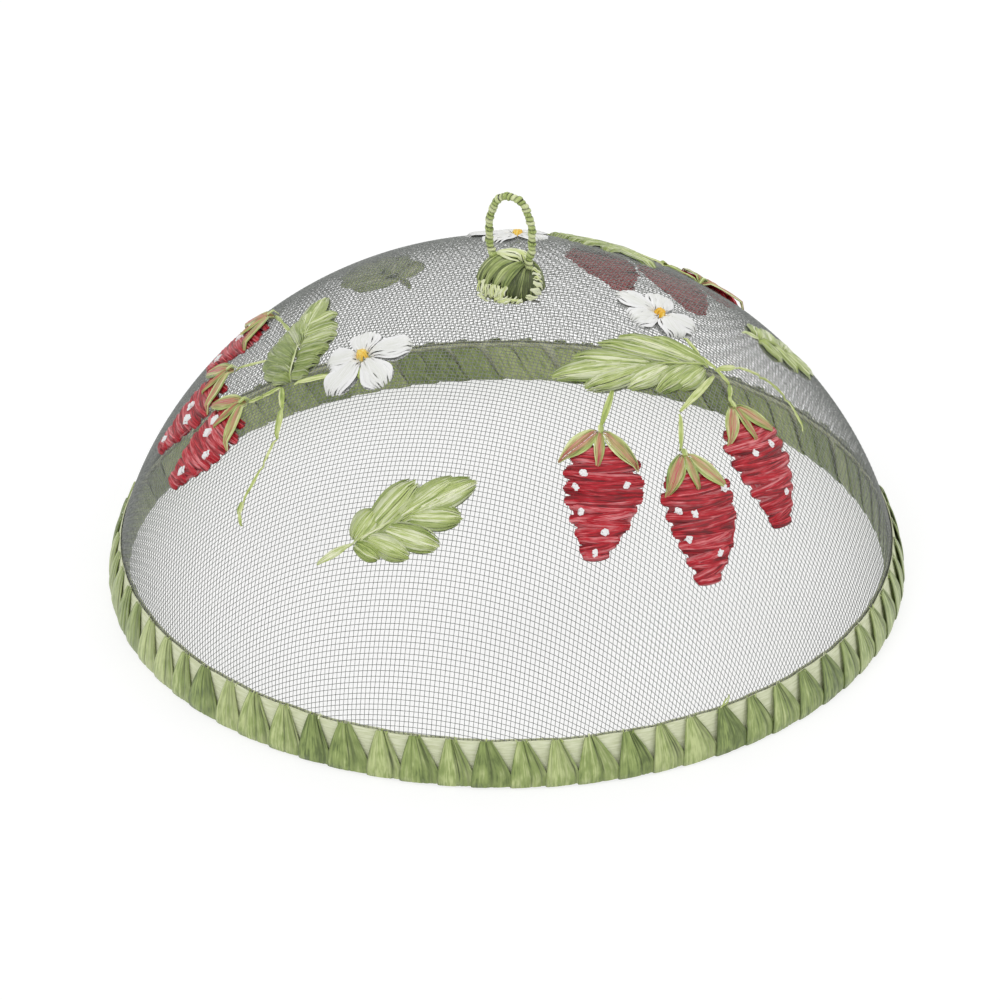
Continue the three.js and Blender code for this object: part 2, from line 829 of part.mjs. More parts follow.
// A relief that spreads from a middle: rings of points at shares of each direction's reach,
// round an open hole or from one point.
function roundRelief(at, outline, holeRadius, cutter) {
  const grow = cutter ? clearance : 0;
  const open = holeRadius > 0 && !cutter;
  const rings = open ? openRingShares : closedRingShares;
  const placed = rings.map((share) =>
    outline.map(({ angle, reach }) => {
      const start = open ? holeRadius : 0;
      const distance = start + (reach + grow - start) * share;
      return at(distance * Math.sin(angle), distance * Math.cos(angle));
    }),
  );
  const rises = open ? openRiseShares : closedRiseShares;
  const lows = placed.map((ring) => ring.map((point) => lift(point, levels(cutter, 0)[0])));
  const highs = placed.map((ring, row) =>
    ring.map((point) => lift(point, levels(cutter, rises[row])[1])),
  );
  if (!open) {
    const middle = at(0, 0);
    lows.unshift(outline.map(() => lift(middle, levels(cutter, 0)[0])));
    highs.unshift(outline.map(() => lift(middle, levels(cutter, 1)[1])));
  }
  return skin([...lows, ...highs.reverse()], open);
}

function berry(place, cutter) {
  const width = berryWidth * place.spread;
  return longRelief(place.calyx, place.tip, width, berryShares, cutter);
}

function leaf(place, cutter) {
  return longRelief(place.base, place.tip, leafWidth * place.spread, leafShares, cutter);
}

function calyxOutline(scale) {
  const reach = sepalLength * scale;
  const outline = [];
  const add = (angle, share) =>
    outline.push({ angle: THREE.MathUtils.degToRad(angle), reach: reach * share });
  sepalAngles.forEach((angle, count) => {
    if (count > 0) add((angle + sepalAngles[count - 1]) / 2, sepalValleyShare);
    add(angle - sepalShoulderAngle, sepalShoulderShare);
    add(angle, 1);
    add(angle + sepalShoulderAngle, sepalShoulderShare);
  });
  calyxBackAngles.forEach((angle) => add(angle, calyxBackShare));
  return outline;
}

// The calyx lies on the berry's end, with its own middle at the stem.
function calyx(place, cutter) {
  const chart = chartBetween(place.calyx, place.tip);
  const root = sepalLength * calyxBackShare;
  const outline = calyxOutline(place.sepals ?? place.spread);
  return roundRelief((x, y) => chart.at(x, y + root), outline, 0, cutter);
}

function petalOutline() {
  const outline = [];
  const pitch = (2 * Math.PI) / petalCount;
  for (let petal = 0; petal < petalCount; petal += 1) {
    const middle = petal * pitch;
    outline.push({ angle: middle - pitch / 2, reach: petalLength * petalValleyShare });
    const turn = pitch * petalShoulderTurnShare;
    const shoulder = petalLength * petalShoulderShare;
    outline.push({ angle: middle - turn, reach: shoulder });
    outline.push({ angle: middle, reach: petalLength });
    outline.push({ angle: middle + turn, reach: shoulder });
  }
  return outline;
}

function flowerChart(place) {
  const [azimuth, radiusShare] = place.middle;
  const up = [azimuth, radiusShare * (1 - flowerAxisShare)];
  const down = [azimuth, radiusShare * (1 + flowerAxisShare)];
  const chart = chartBetween(down, up);
  const turn = THREE.MathUtils.degToRad(place.lean);
  const cos = Math.cos(turn);
  const sin = Math.sin(turn);
  return (x, y) => chart.at(x * cos + y * sin, y * cos - x * sin + chart.length / 2);
}

function petals(place, cutter) {
  return roundRelief(flowerChart(place), petalOutline(), eyeRadius + clearance, cutter);
}

function eyeOutline() {
  const outline = [];
  for (let side = 0; side < eyeSides; side += 1) {
    outline.push({ angle: (2 * Math.PI * side) / eyeSides, reach: eyeRadius });
  }
  return outline;
}

function flowerEye(place) {
  const at = flowerChart(place);
  const seat = clothThickness / 2 + clearance;
  const ring = (share, height) =>
    eyeOutline().map(({ angle, reach }) =>
      lift(at(share * reach * Math.sin(angle), share * reach * Math.cos(angle)), height),
    );
  const shoulder = ring(1, seat + eyeHeight / 2);
  return skin([ring(1, seat), shoulder, ring(eyeTopShare, seat + eyeHeight)], false);
}

// One stitched line along places on the dome.
function stem(places) {
  const curve = new THREE.CatmullRomCurve3(places.map(onDome));
  const low = clothThickness / 2 + clearance;
  const high = low + stemThickness;
  const loops = [];
  const steps = places.length;
  for (let step = 0; step <= steps; step += 1) {
    const share = step / steps;
    const point = press(curve.getPointAt(share));
    const side = curve.getTangentAt(share).cross(outwardAt(point)).normalize();
    const half = THREE.MathUtils.lerp(stemWidth, stemEndWidth, share) / 2;
    const edge = (across, height) => lift(point, height).addScaledVector(side, across * half);
    loops.push([edge(-1, low), edge(1, low), edge(stemTopShare, high), edge(-stemTopShare, high)]);
  }
  return skin(loops, false);
}

function shifted([azimuth, radiusShare], start) {
  return [azimuth + start, radiusShare];
}

// A plan with its azimuths counted from the sprig's own.
function placed(plan, start) {
  const move = (place) => shifted(place, start);
  const { leaf: blade, flower, berries, stems } = plan;
  return {
    leaf: { ...blade, base: move(blade.base), tip: move(blade.tip) },
    flower: { ...flower, middle: move(flower.middle) },
    berries: berries.map((one) => ({ ...one, calyx: move(one.calyx), tip: move(one.tip) })),
    stems: stems.map((places) => places.map(move)),
  };
}

function without(solid, cutters) {
  return cutters.reduce((left, cutter) => left.subtract(cutter), solid);
}

function sprig({ name, azimuth, plan }) {
  const places = placed(plan, azimuth);
  const members = new THREE.Group();
  const flowerCut = petals(places.flower, true);
  const leafCut = leaf(places.leaf, true);
  const calyxCuts = places.berries.map((place) => calyx(place, true));
  const berryCuts = places.berries.map((place) => berry(place, true));
  members.add(meshOf("petals_" + name, "petal", petals(places.flower, false)));
  members.add(meshOf("flower_eye_" + name, "eye", flowerEye(places.flower)));
  members.add(meshOf("leaf_" + name, "raffia", without(leaf(places.leaf, false), [flowerCut])));
  places.berries.forEach((place, count) => {
    const label = name + "_" + (count + 1);
    const cap = without(calyx(place, false), [leafCut, ...calyxCuts.slice(0, count)]);
    members.add(meshOf("calyx_" + label, "raffia", cap));
    const fruit = without(berry(place, false), [leafCut, ...calyxCuts, ...berryCuts.slice(0, count)]);
    members.add(meshOf("berry_" + label, "berry", fruit));
  });
  const stems = places.stems.map(stem).reduce((all, one) => all.add(one));
  const cut = without(stems, [flowerCut, leafCut, ...calyxCuts, ...berryCuts]);
  members.add(meshOf("stems_" + name, "raffia", cut));
  return members;
}

// The outline of a single leaf from its stalk's end, with the blade from its base on.
function stalkedShares(stalk, base, tip) {
  const start = onDome(stalk);
  const share = start.distanceTo(onDome(base)) / start.distanceTo(onDome(tip));
  const blade = leafShares.map(([along, spread]) => [
    THREE.MathUtils.lerp(share, 1, along),
    spread,
  ]);
  return [[0, stalkEndShare], [share / 2, stalkMiddleShare], ...blade];
}

function looseLeaf({ name, stalk, base, tip, spread }) {
  const shares = stalkedShares(stalk, base, tip);
  const blade = longRelief(stalk, tip, leafWidth * spread, shares, false);
  return meshOf("leaf_single_" + name, "raffia", blade);
}

const group = new THREE.Group();
group.add(meshOf("mesh_dome", "cloth", meshDome()));
group.add(meshOf("rim_wire", "wire", rimWire()));
group.add(meshOf("rim_binding", "binding", rimBinding()));
group.add(meshOf("rim_wrap", "raffia", rimWrap()));
group.add(meshOf("handle_bun", "raffia", handleBun()));
group.add(meshOf("handle_wire", "wire", handleWire()));
group.add(meshOf("handle_wrap", "raffia", handleWrap()));
group.add(meshOf("handle_inner_pad", "raffia", innerPad()));
sprigs.forEach((plan) => group.add(sprig(plan)));
looseLeaves.forEach((plan) => group.add(looseLeaf(plan)));

export default group;
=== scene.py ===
"""Looks of the food cover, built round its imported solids.

A dome of woven wire cloth, a hem sewn over with raffia fans, a raffia loop handle on a bun,
and strawberry sprigs in satin stitch. Metres, +Z up, in the frame of the solids. An azimuth
is in degrees, from -Y towards +X, and a place on the dome is an azimuth with a share of the
dome's radius.
"""

import logging
import math
from dataclasses import dataclass, replace
from enum import Enum
from functools import partial, reduce
from typing import ClassVar, Protocol

import bpy
import numpy as np
from mathutils import Matrix, Vector


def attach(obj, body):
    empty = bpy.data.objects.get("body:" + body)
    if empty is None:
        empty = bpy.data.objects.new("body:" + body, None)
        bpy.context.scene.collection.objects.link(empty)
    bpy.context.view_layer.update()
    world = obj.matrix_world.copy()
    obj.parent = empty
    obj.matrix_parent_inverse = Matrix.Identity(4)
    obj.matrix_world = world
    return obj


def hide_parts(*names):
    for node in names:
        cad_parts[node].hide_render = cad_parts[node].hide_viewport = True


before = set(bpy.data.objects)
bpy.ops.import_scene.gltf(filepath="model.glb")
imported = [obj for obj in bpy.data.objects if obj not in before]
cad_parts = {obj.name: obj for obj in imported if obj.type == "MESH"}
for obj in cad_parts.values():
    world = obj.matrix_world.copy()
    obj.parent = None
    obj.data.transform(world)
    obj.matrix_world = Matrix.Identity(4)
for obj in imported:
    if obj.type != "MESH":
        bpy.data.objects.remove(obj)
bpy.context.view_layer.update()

Array = np.ndarray
Place = tuple[float, float]
Material = bpy.types.Material
Piece = bpy.types.Object
Socket = bpy.types.NodeSocket
Tree = bpy.types.NodeTree
TINY = 1e-12
log = logging.getLogger("food_cover")


class Slot(Enum):
    """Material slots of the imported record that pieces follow."""

    CLOTH = "wire_cloth"
    BINDING = "binding_cloth"
    GREEN = "raffia_green"
    RED = "raffia_red"
    WHITE = "raffia_white"
    YELLOW = "raffia_yellow"


class Family(Enum):
    """The two families of wires in the cloth."""

    WARP = "warp"
    WEFT = "weft"


# Surfaces


def unit(vectors: Array) -> Array:
    """Vectors scaled to a length of one."""
    return vectors / np.maximum(np.linalg.norm(vectors, axis=-1, keepdims=True), TINY)


def read_off(at: Array, run: Array, rows: Array) -> Array:
    """Rows of a table read between its lines, each column for itself."""
    return np.stack([np.interp(at, run, column) for column in rows.T], -1)


def around(azimuth: Array, radius: Array, z: Array) -> Array:
    """Points at azimuths in radians, at distances from the dome's axis, and heights."""
    return np.stack([radius * np.sin(azimuth), -radius * np.cos(azimuth), z], -1)


def through(points: Array, count: int, per_span: int = 24) -> Array:
    """A smooth line through points, spaced evenly along it.

    Each span is a centripetal Catmull-Rom curve: a cubic whose slope at a point follows its two
    neighbours, timed by the square root of their distances.

    Args:
        points: corners of the line, one in each row.
        count: how many points to return.
        per_span: how many points each curve is worked out at.

    Returns:
        The line's points, one in each row.
    """
    ends = [2 * points[0] - points[1], 2 * points[-1] - points[-2]]
    p = np.concatenate([ends[:1], points, ends[1:]])
    gap = np.linalg.norm(np.diff(p, axis=0), axis=1) ** 0.5
    before, span, after = gap[:-2, None], gap[1:-1, None], gap[2:, None]
    a, b, c, d = p[:-3], p[1:-2], p[2:-1], p[3:]
    start = (b - a) / before - (c - a) / (before + span) + (c - b) / span
    end = (c - b) / span - (d - b) / (span + after) + (d - c) / after
    t = np.linspace(0, 1, per_span, endpoint=False)[None, :, None]
    m0, m1 = (start * span)[:, None], (end * span)[:, None]
    b, c = b[:, None], c[:, None]
    cubic = b + m0 * t + (3 * (c - b) - 2 * m0 - m1) * t**2 + (2 * (b - c) + m0 + m1) * t**3
    line = np.concatenate([cubic.reshape(-1, points.shape[1]), points[-1:]])
    run = np.concatenate([[0], np.cumsum(np.linalg.norm(np.diff(line, axis=0), axis=1))])
    return read_off(np.linspace(0, run[-1], count), run, line)


@dataclass(frozen=True)
class Dome:
    """The cloth's middle surface: (r / radius)^spread + (z / height)^rise = 1."""

    radius: float = 0.175
    height: float = 0.1445
    spread: float = 2.144
    rise: float = 1.653
    halvings: int = 34

    def radius_at(self, z: Array) -> Array:
        """The radius at a height, from the dome's own formula."""
        return self.radius * (1 - (z / self.height) ** self.rise) ** (1 / self.spread)

    def height_at(self, r: Array) -> Array:
        """The height at a radius, from the dome's own formula."""
        return self.height * (1 - (r / self.radius) ** self.spread) ** (1 / self.rise)

    def place(self, place: Place) -> Array:
        """The point on the dome at an azimuth and a share of its radius."""
        turn, r = math.radians(place[0]), place[1] * self.radius
        return np.array([r * math.sin(turn), -r * math.cos(turn), self.height_at(r)])

    def outward(self, points: Array) -> Array:
        """Outward directions at points: the formula's slopes, across and up.

        Args:
            points: places on the dome.

        Returns:
            A direction of length one for each.
        """
        r = np.hypot(points[..., 0], points[..., 1])
        z = np.maximum(points[..., 2], 0)
        across = self.spread / self.radius * (r / self.radius) ** (self.spread - 1)
        up = self.rise / self.height * (z / self.height) ** (self.rise - 1)
        away = points[..., :2] / np.maximum(r, TINY)[..., None]
        return unit(np.concatenate([away * across[..., None], up[..., None]], -1))

    def press(self, points: Array) -> Array:
        """Points moved onto the dome along their rays from the origin, by halving.

        Args:
            points: any points above the floor.

        Returns:
            Where their rays meet the dome.
        """
        r = np.hypot(points[..., 0], points[..., 1]) / self.radius
        z = np.maximum(points[..., 2], 0) / self.height
        low, high = np.zeros_like(r), 1 / np.maximum(r, z)
        for _ in range(self.halvings):
            middle = (low + high) / 2
            inside = (middle * r) ** self.spread + (middle * z) ** self.rise < 1
            low, high = np.where(inside, middle, low), np.where(inside, high, middle)
        return points * low[..., None]

    def lift(self, points: Array, distance: Array) -> Array:
        """Points moved outwards by a distance."""
        return points + self.outward(points) * distance[..., None]


class Ground(Protocol):
    """A surface with flat axes that stitches are laid out on.

    Its length is how far y runs, and its scale how many metres a flat unit is.
    """

    length: float
    scale: float

    def on(self, x: Array, y: Array, height: Array) -> Array:
        """Points over flat places.

        Args:
            x: flat coordinate across.
            y: flat coordinate along.
            height: metres outwards from the surface.

        Returns:
            The points.
        """


@dataclass(frozen=True)
class Chart:
    """Flat axes that touch the dome halfway between two places, with y from first to second."""

    dome: Dome
    origin: Array
    side: Array
    along: Array
    length: float
    scale: float = 1.0

    @classmethod
    def between(cls, dome: Dome, head: Place, tail: Place) -> "Chart":
        """The chart of a motif.

        Args:
            dome: the surface that it lies on.
            head: the place where y is 0.
            tail: the place that y runs towards.

        Returns:
            The chart, whose length is the straight distance between the places.
        """
        start, end = dome.place(head), dome.place(tail)
        origin = dome.press((start + end) / 2)
        normal = dome.outward(origin)
        chord = end - start
        along = unit(chord - normal * (chord @ normal))
        side = unit(np.cross(along, normal))
        return cls(dome, origin, side, along, float(np.linalg.norm(chord)))

    def on(self, x: Array, y: Array, height: Array) -> Array:
        """Points over flat places, pressed onto the dome along their rays and lifted.

        Args:
            x: metres sideways.
            y: metres along.
            height: metres outwards from the dome.

        Returns:
            The points.
        """
        flat = self.origin + self.side * x[..., None]
        flat = flat + self.along * (y - self.length / 2)[..., None]
        return self.dome.lift(self.dome.press(flat), height)

    def flat(self, place: Place) -> Array:
        """Where a place's ray from the origin meets the chart's plane.

        Args:
            place: a place on the dome.

        Returns:
            Its flat x and y.
        """
        normal = np.cross(self.side, self.along)
        point = self.dome.place(place)
        offset = point * (self.origin @ normal) / (point @ normal) - self.origin
        return np.array([offset @ self.side, offset @ self.along + self.length / 2])


@dataclass(frozen=True)
class Trail:
    """A line over the dome with y along it and x beside it."""

    dome: Dome
    line: Array
    length: float
    scale: float = 1.0

    @classmethod
    def along(cls, dome: Dome, places: tuple[Place, ...], count: int = 40) -> "Trail":
        """The trail through places on the dome."""
        line = dome.press(through(np.array([dome.place(place) for place in places]), count))
        return cls(dome, line, float(np.linalg.norm(np.diff(line, axis=0), axis=1).sum()))

    def on(self, x: Array, y: Array, height: Array) -> Array:
        """Points beside the line, pressed onto the dome and lifted.

        Args:
            x: metres sideways from the line.
            y: metres along it.
            height: metres outwards from the dome.

        Returns:
            The points.
        """
        run = np.linspace(0, self.length, len(self.line))
        slope = unit(np.gradient(self.line, axis=0))
        side = unit(np.cross(slope, self.dome.outward(self.line)))
        points = read_off(y, run, self.line) + read_off(y, run, side) * x[..., None]
        return self.dome.lift(self.dome.press(points), height)


@dataclass(frozen=True)
class Mound:
    """A round form over the unit disk: r = radius cos^(2/3) a, z = foot + height sin a.

    It stands up from its foot, or hangs down from it where its way up is -1. Past the disk's
    edge, up to its brim, it drops below its foot.
    """

    middle: Array
    foot: float
    radius: float = 0.0142
    height: float = 0.0130
    way_up: int = 1
    length: float = 1.0
    scale: float = 0.021
    brim: float = 1.12
    drop: float = 0.35

    def on(self, x: Array, y: Array, height: Array) -> Array:
        """Points over places of the disk.

        The distance from the disk's middle gives the angle a, from a quarter turn to none. The
        height moves a point upwards at the top and sideways at the foot.

        Args:
            x: across the disk, from -1 to 1.
            y: up the disk, from -1 to 1.
            height: metres outwards from the mound.

        Returns:
            The points.
        """
        far = np.clip(np.hypot(x, y), 1e-6, self.brim)
        angle = np.pi / 2 * (1 - far)
        lean = np.clip(angle, 0, None)
        r = self.radius * np.cos(lean) ** (2 / 3)
        z = self.height * np.sin(lean) + self.radius * self.drop * np.minimum(angle, 0)
        tilt = np.clip(far, 0, 1) ** 1.5
        away = np.stack([x / far, y / far], -1)
        outer = away * (r + height * tilt)[..., None]
        top = (self.foot + self.way_up * (z + height * (1 - tilt)))[..., None]
        return np.concatenate([outer, top], -1) + self.middle


# Meshes


def linked(name: str, data: bpy.types.ID) -> Piece:
    """A new object in the scene."""
    made = bpy.data.objects.new(name, data)
    bpy.context.scene.collection.objects.link(made)
    return made


def solid(
    name: str, points: Array, faces: list[Array], material: Material, crease: float = 60
) -> Piece:
    """An object from points and faces.

    Args:
        name: the piece's name.
        points: one point in each row.
        faces: arrays of corner numbers, each of faces with the same number of corners.
        material: its finish.
        crease: angle in degrees past which an edge is shown sharp.

    Returns:
        The object, in the scene, with its place in its mesh.
    """
    mesh = bpy.data.meshes.new(name)
    sizes = np.concatenate([np.full(len(part), part.shape[1]) for part in faces])
    corners = np.concatenate([part.ravel() for part in faces])
    mesh.vertices.add(len(points))
    mesh.vertices.foreach_set("co", points.astype(np.float32).ravel())
    mesh.loops.add(len(corners))
    mesh.loops.foreach_set("vertex_index", corners.astype(np.int32))
    mesh.polygons.add(len(sizes))
    mesh.polygons.foreach_set("loop_start", (np.cumsum(sizes) - sizes).astype(np.int32))
    mesh.update(calc_edges=True)
    mesh.shade_smooth()
    mesh.set_sharp_from_angle(angle=math.radians(crease))
    mesh.materials.append(material)
    return linked(name, mesh)


def facing_out(points: Array, quads: Array) -> Array:
    """The quads of a closed surface, turned over where its volume comes out negative.

    Args:
        points: one point in each row.
        quads: corner numbers, four in each row.

    Returns:
        The quads.
    """
    a, b, c, d = (points[quads[:, corner]] for corner in range(4))
    volume = (np.cross(a, b) * c).sum() + (np.cross(a, c) * d).sum()
    return quads if volume > 0 else quads[:, ::-1]


def there_and_back(front: Array, back: Array) -> Array:
    """The columns of a strip's front, then those of its back the other way round."""
    return np.concatenate([front, back[:, :, ::-1]], 2)


def keep(made: Piece, slot: Slot, *nodes: str) -> None:
    """Puts a piece on the part's body, in place of its nodes, and reports it.

    Args:
        made: the finished piece.
        slot: the material slot that its finish follows; not used.
        nodes: the solids that it stands for.
    """
    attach(made, "root")
    if nodes:
        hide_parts(*nodes)
    log.info("%s: %d faces", made.name, len(made.data.polygons))


class Skin:
    """Closed strips gathered into one mesh, with marks that its finish reads."""

    def __init__(self) -> None:
        """Starts with no strip."""
        self.points: list[Array] = []
        self.faces: list[Array] = []
        self.marks: list[Array] = []
        self.tints: list[Array] = []
        self.count = 0

    def add(self, points: Array, marks: Array, tint: Array) -> None:
        """Adds closed strips.

        A strip is a row of loops, and each loop is joined to the next by quads. An end is closed
        by quads between the two halves of its loop.

        Args:
            points: strips x loops x columns x 3, with an even number of columns.
            marks: the same size: metres across and along the strip, and the strip's own number.
            tint: strips x loops x columns, how far the second colour shows.
        """
        strips, loops, columns = points.shape[:3]
        index = np.arange(strips * loops * columns).reshape(strips, loops, columns)
        beside = np.roll(index, -1, axis=2)
        walls = [index[:, :-1], beside[:, :-1], beside[:, 1:], index[:, 1:]]
        left = np.arange(columns // 2 - 1)
        right = columns - 1 - left
        order = [left, right, right - 1, left + 1]
        first = [index[:, 0][:, at] for at in order]
        last = [index[:, -1][:, at] for at in order[::-1]]
        quads = np.concatenate([np.stack(part, -1).reshape(-1, 4) for part in (walls, first, last)])
        flat = points.reshape(-1, 3)
        self.faces.append(self.count + facing_out(flat, quads))
        self.points.append(flat)
        self.marks.append(marks.reshape(-1, 3))
        self.tints.append(tint.reshape(-1))
        self.count += len(flat)

    def build(self, name: str, material: Material) -> Piece:
        """Makes one object of the strips.

        Args:
            name: the piece's name.
            material: its finish.

        Returns:
            The object, with the marks as the attributes strand and tint.
        """
        made = solid(name, np.concatenate(self.points), [np.concatenate(self.faces)], material)
        strand = made.data.attributes.new("strand", "FLOAT_VECTOR", "POINT")
        strand.data.foreach_set("vector", np.concatenate(self.marks).astype(np.float32).ravel())
        # Only now, because a new attribute makes the reference to an older one unsafe.
        tint = made.data.attributes.new("tint", "FLOAT", "POINT")
        tint.data.foreach_set("value", np.concatenate(self.tints).astype(np.float32))
        return made


# Raffia


@dataclass(frozen=True)
class Satin:
    """How a bundle of raffia strands lies between its root and its tip.

    The bundle is widest at its belly, and narrows to shares of its width at its ends. The
    middle strands rise most. lie is the height of what it lies on. Its outer strands are drawn
    in at both ends by the share rounded, and point is how blunt each strand's own ends are. back
    is how far its returning strands lie inside the cloth, or 0 where it has none.
    """

    strands: int = 7
    width: float = 0.009
    root: float = 0.35
    tip: float = 0.12
    belly: float = 0.45
    rise: float = 0.0009
    lie: float = 0.0006
    bow: float = 0.0
    ragged: float = 0.05
    wobble: float = 0.0
    rings: int = 8
    thickness: float = 0.00035
    sink: float = -0.0002
    overlap: float = 1.35
    # The two shares below are how far the second colour shows on the outer and the middle strands.
    # Where that colour is dark it is painted shade, at the edges where bundles meet; the sepals'
    # red is their own colour.
    edge_shade_and_tone: float = 0.0
    middle_tone_and_shade: float = 0.0
    rounded: float = 0.0
    point: float = 0.4
    back: float = 0.0

    def swell(self, v: Array) -> Array:
        """The share of its full width that the bundle has.

        It grows by a quarter sine to the belly, and falls by a quarter cosine past it.

        Args:
            v: shares of the way from root to tip.

        Returns:
            A share of the width for each.
        """
        grown = self.root + (1 - self.root) * np.sin(np.pi / 2 * np.clip(v / self.belly, 0, 1))
        past = np.clip((v - self.belly) / (1 - self.belly), 0, 1)
        fallen = self.tip + (1 - self.tip) * np.cos(np.pi / 2 * past)
        return np.where(v < self.belly, grown, fallen)


class Stitcher:
    """Lays bundles of strands on a ground, with one run of chance for a piece.

    Chance moves a strand sideways by up to SHIFT strands, and changes its width by WIDTHS and
    its rise by RISES. A strand is at least LEAST wide to each side, and waves up and down by
    RIPPLE. The bundle's outer strands rise less by CROWN. SIDES and UPS are a strand's section.
    """

    SHIFT = 0.25
    WIDTHS = (0.8, 1.2)
    RISES = (0.85, 1.1)
    LEAST = 0.0002
    RIPPLE = 0.0001
    CROWN = 0.75
    SIDES = np.array([-1, 0, 1, 0])
    UPS = np.array([0, -0.8, 0, 1])

    def __init__(self, seed: int) -> None:
        """Starts a piece.

        Args:
            seed: the number that its chance starts from.
        """
        self.rng = np.random.default_rng(seed)
        self.skin = Skin()

    def bundle(self, ground: Ground, root: Place, tip: Place, form: Satin) -> None:
        """Adds one bundle.

        A strand runs beside the line from root to tip, at its share of the bundle's width. Its
        section is a flat diamond. Its height is a steep arch, so that both ends go into the
        cloth.

        Args:
            ground: what it lies on.
            root: flat x and y of its start.
            tip: flat x and y of its end.
            form: its measures.
        """
        k, rng = form.strands, self.rng
        share = np.linspace(0, 1, form.rings)[None, :]
        c = ((np.arange(k) + 0.5) / k * 2 - 1)[:, None]
        start = rng.uniform(0, form.ragged, (k, 1)) + form.rounded * c**2
        end = 1 - rng.uniform(0, form.ragged, (k, 1)) - form.rounded * c**2
        v = start + (end - start) * share
        swell = form.swell(v)
        line = np.asarray(tip, float) - np.asarray(root, float)
        length = np.hypot(*line)
        along = line / length
        c = c + rng.uniform(-self.SHIFT, self.SHIFT, (k, 1)) / k
        turn = rng.uniform(0, 2 * np.pi, (k, 1))
        off = c * swell * form.width / 2 * (1 - 0.6 / k) + form.bow * length * 4 * v * (1 - v)
        off = off + form.wobble * np.sin(turn + v * 9) * swell
        taper = form.point + (1 - form.point) * np.sin(np.pi * share) ** 0.5
        half = swell * form.width / (2 * k) * form.overlap * taper
        half = (np.maximum(half, self.LEAST) * rng.uniform(*self.WIDTHS, (k, 1)))[..., None]
        arch = np.clip(np.sin(np.pi * share) * 2.4, 0, 1) ** 0.7
        top = form.lie + form.rise * (1 - self.CROWN * c**2) * rng.uniform(*self.RISES, (k, 1))
        wave = self.RIPPLE * np.sin(turn * 3 + v * 14) * arch
        high = form.sink + (top - form.sink) * arch + wave
        across = off[..., None] + half * self.SIDES
        centre = np.asarray(root) + line * v[..., None]
        x = centre[..., 0, None] - along[1] * across
        y = centre[..., 1, None] + along[0] * across
        whole = np.ones_like(x)
        number = rng.uniform(0, 1, (k, 1, 1)) * whole
        long = v[..., None] * length * ground.scale * whole
        marks = np.stack([half * ground.scale * self.SIDES, long, number], -1)
        # Where the second colour is dark, its share on the outer strands is painted shade where
        # this bundle meets the next.
        tint = form.middle_tone_and_shade + (form.edge_shade_and_tone - form.middle_tone_and_shade) * np.abs(c) ** 1.5
        for level in (high, -form.back * arch) if form.back else (high,):
            up = level[..., None] + self.UPS * form.thickness * whole
            self.skin.add(ground.on(x, y, up), marks, tint[..., None] * whole)


# Finishes


SHADES = ("Dark", "Middle", "Light", "Second")


def linear(code: str) -> tuple[float, float, float, float]:
    """A colour written as six hex digits, as linear light with full alpha."""
    parts = [int(code[at : at + 2], 16) / 255 for at in (0, 2, 4)]
    return (*[p / 12.92 if p <= 0.04045 else ((p + 0.055) / 1.055) ** 2.4 for p in parts], 1.0)


def feed(tree: Tree, node: bpy.types.Node, inputs: dict) -> None:
    """Links or sets the inputs of a node.

    Args:
        tree: the node's tree.
        node: the node.
        inputs: by name or number, another node's output to link, or a value.
    """
    for name, value in inputs.items():
        if isinstance(value, Socket):
            tree.links.new(value, node.inputs[name])
        else:
            node.inputs[name].default_value = value


def joined(tree: Tree, kind: str, inputs: dict, **options) -> bpy.types.NodeOutputs:
    """Adds a node with its inputs set.

    Args:
        tree: where it goes.
        kind: the node's type.
        inputs: by name or number, another node's output to link, or a value.
        options: the node's own options.

    Returns:
        The node's outputs.
    """
    node = tree.nodes.new(kind)
    for name, value in options.items():
        setattr(node, name, value)
    feed(tree, node, inputs)
    return node.outputs


def maths(tree: Tree, word: str, *values: Socket | float) -> Socket:
    """The result of one Math node."""
    return joined(tree, "ShaderNodeMath", dict(enumerate(values)), operation=word)[0]


def span(tree: Tree, value: Socket, low: float, high: float) -> Socket:
    """A value as a smooth share of the way from low to high."""
    inputs = {"Value": value, "From Min": low, "From Max": high}
    return joined(tree, "ShaderNodeMapRange", inputs, interpolation_type="SMOOTHSTEP")[0]


def blend(tree: Tree, share: Socket, first: Socket | tuple, second: Socket | tuple) -> Socket:
    """A colour between two colours."""
    return joined(tree, "ShaderNodeMix", {0: share, 6: first, 7: second}, data_type="RGBA")[2]


def noise(tree: Tree, vector: Socket, stretch: tuple, detail: float) -> Socket:
    """A noise value over a vector, which is multiplied by the stretch first."""
    moved = joined(tree, "ShaderNodeVectorMath", {0: vector, 1: stretch}, operation="MULTIPLY")[0]
    return joined(tree, "ShaderNodeTexNoise", {"Vector": moved, "Scale": 1, "Detail": detail})[0]


def rays(tree: Tree, *kinds: str) -> Socket:
    """1 for rays of the named kinds, and 0 for others."""
    seen = tree.nodes.new("ShaderNodeLightPath").outputs
    return reduce(partial(maths, tree, "MAXIMUM"), [seen[kind] for kind in kinds])


def new_material(name: str) -> tuple[Material, Tree, bpy.types.Node]:
    """A new material, its tree and its shader."""
    made = bpy.data.materials.new(name)
    made.use_nodes = True
    return made, made.node_tree, made.node_tree.nodes["Principled BSDF"]


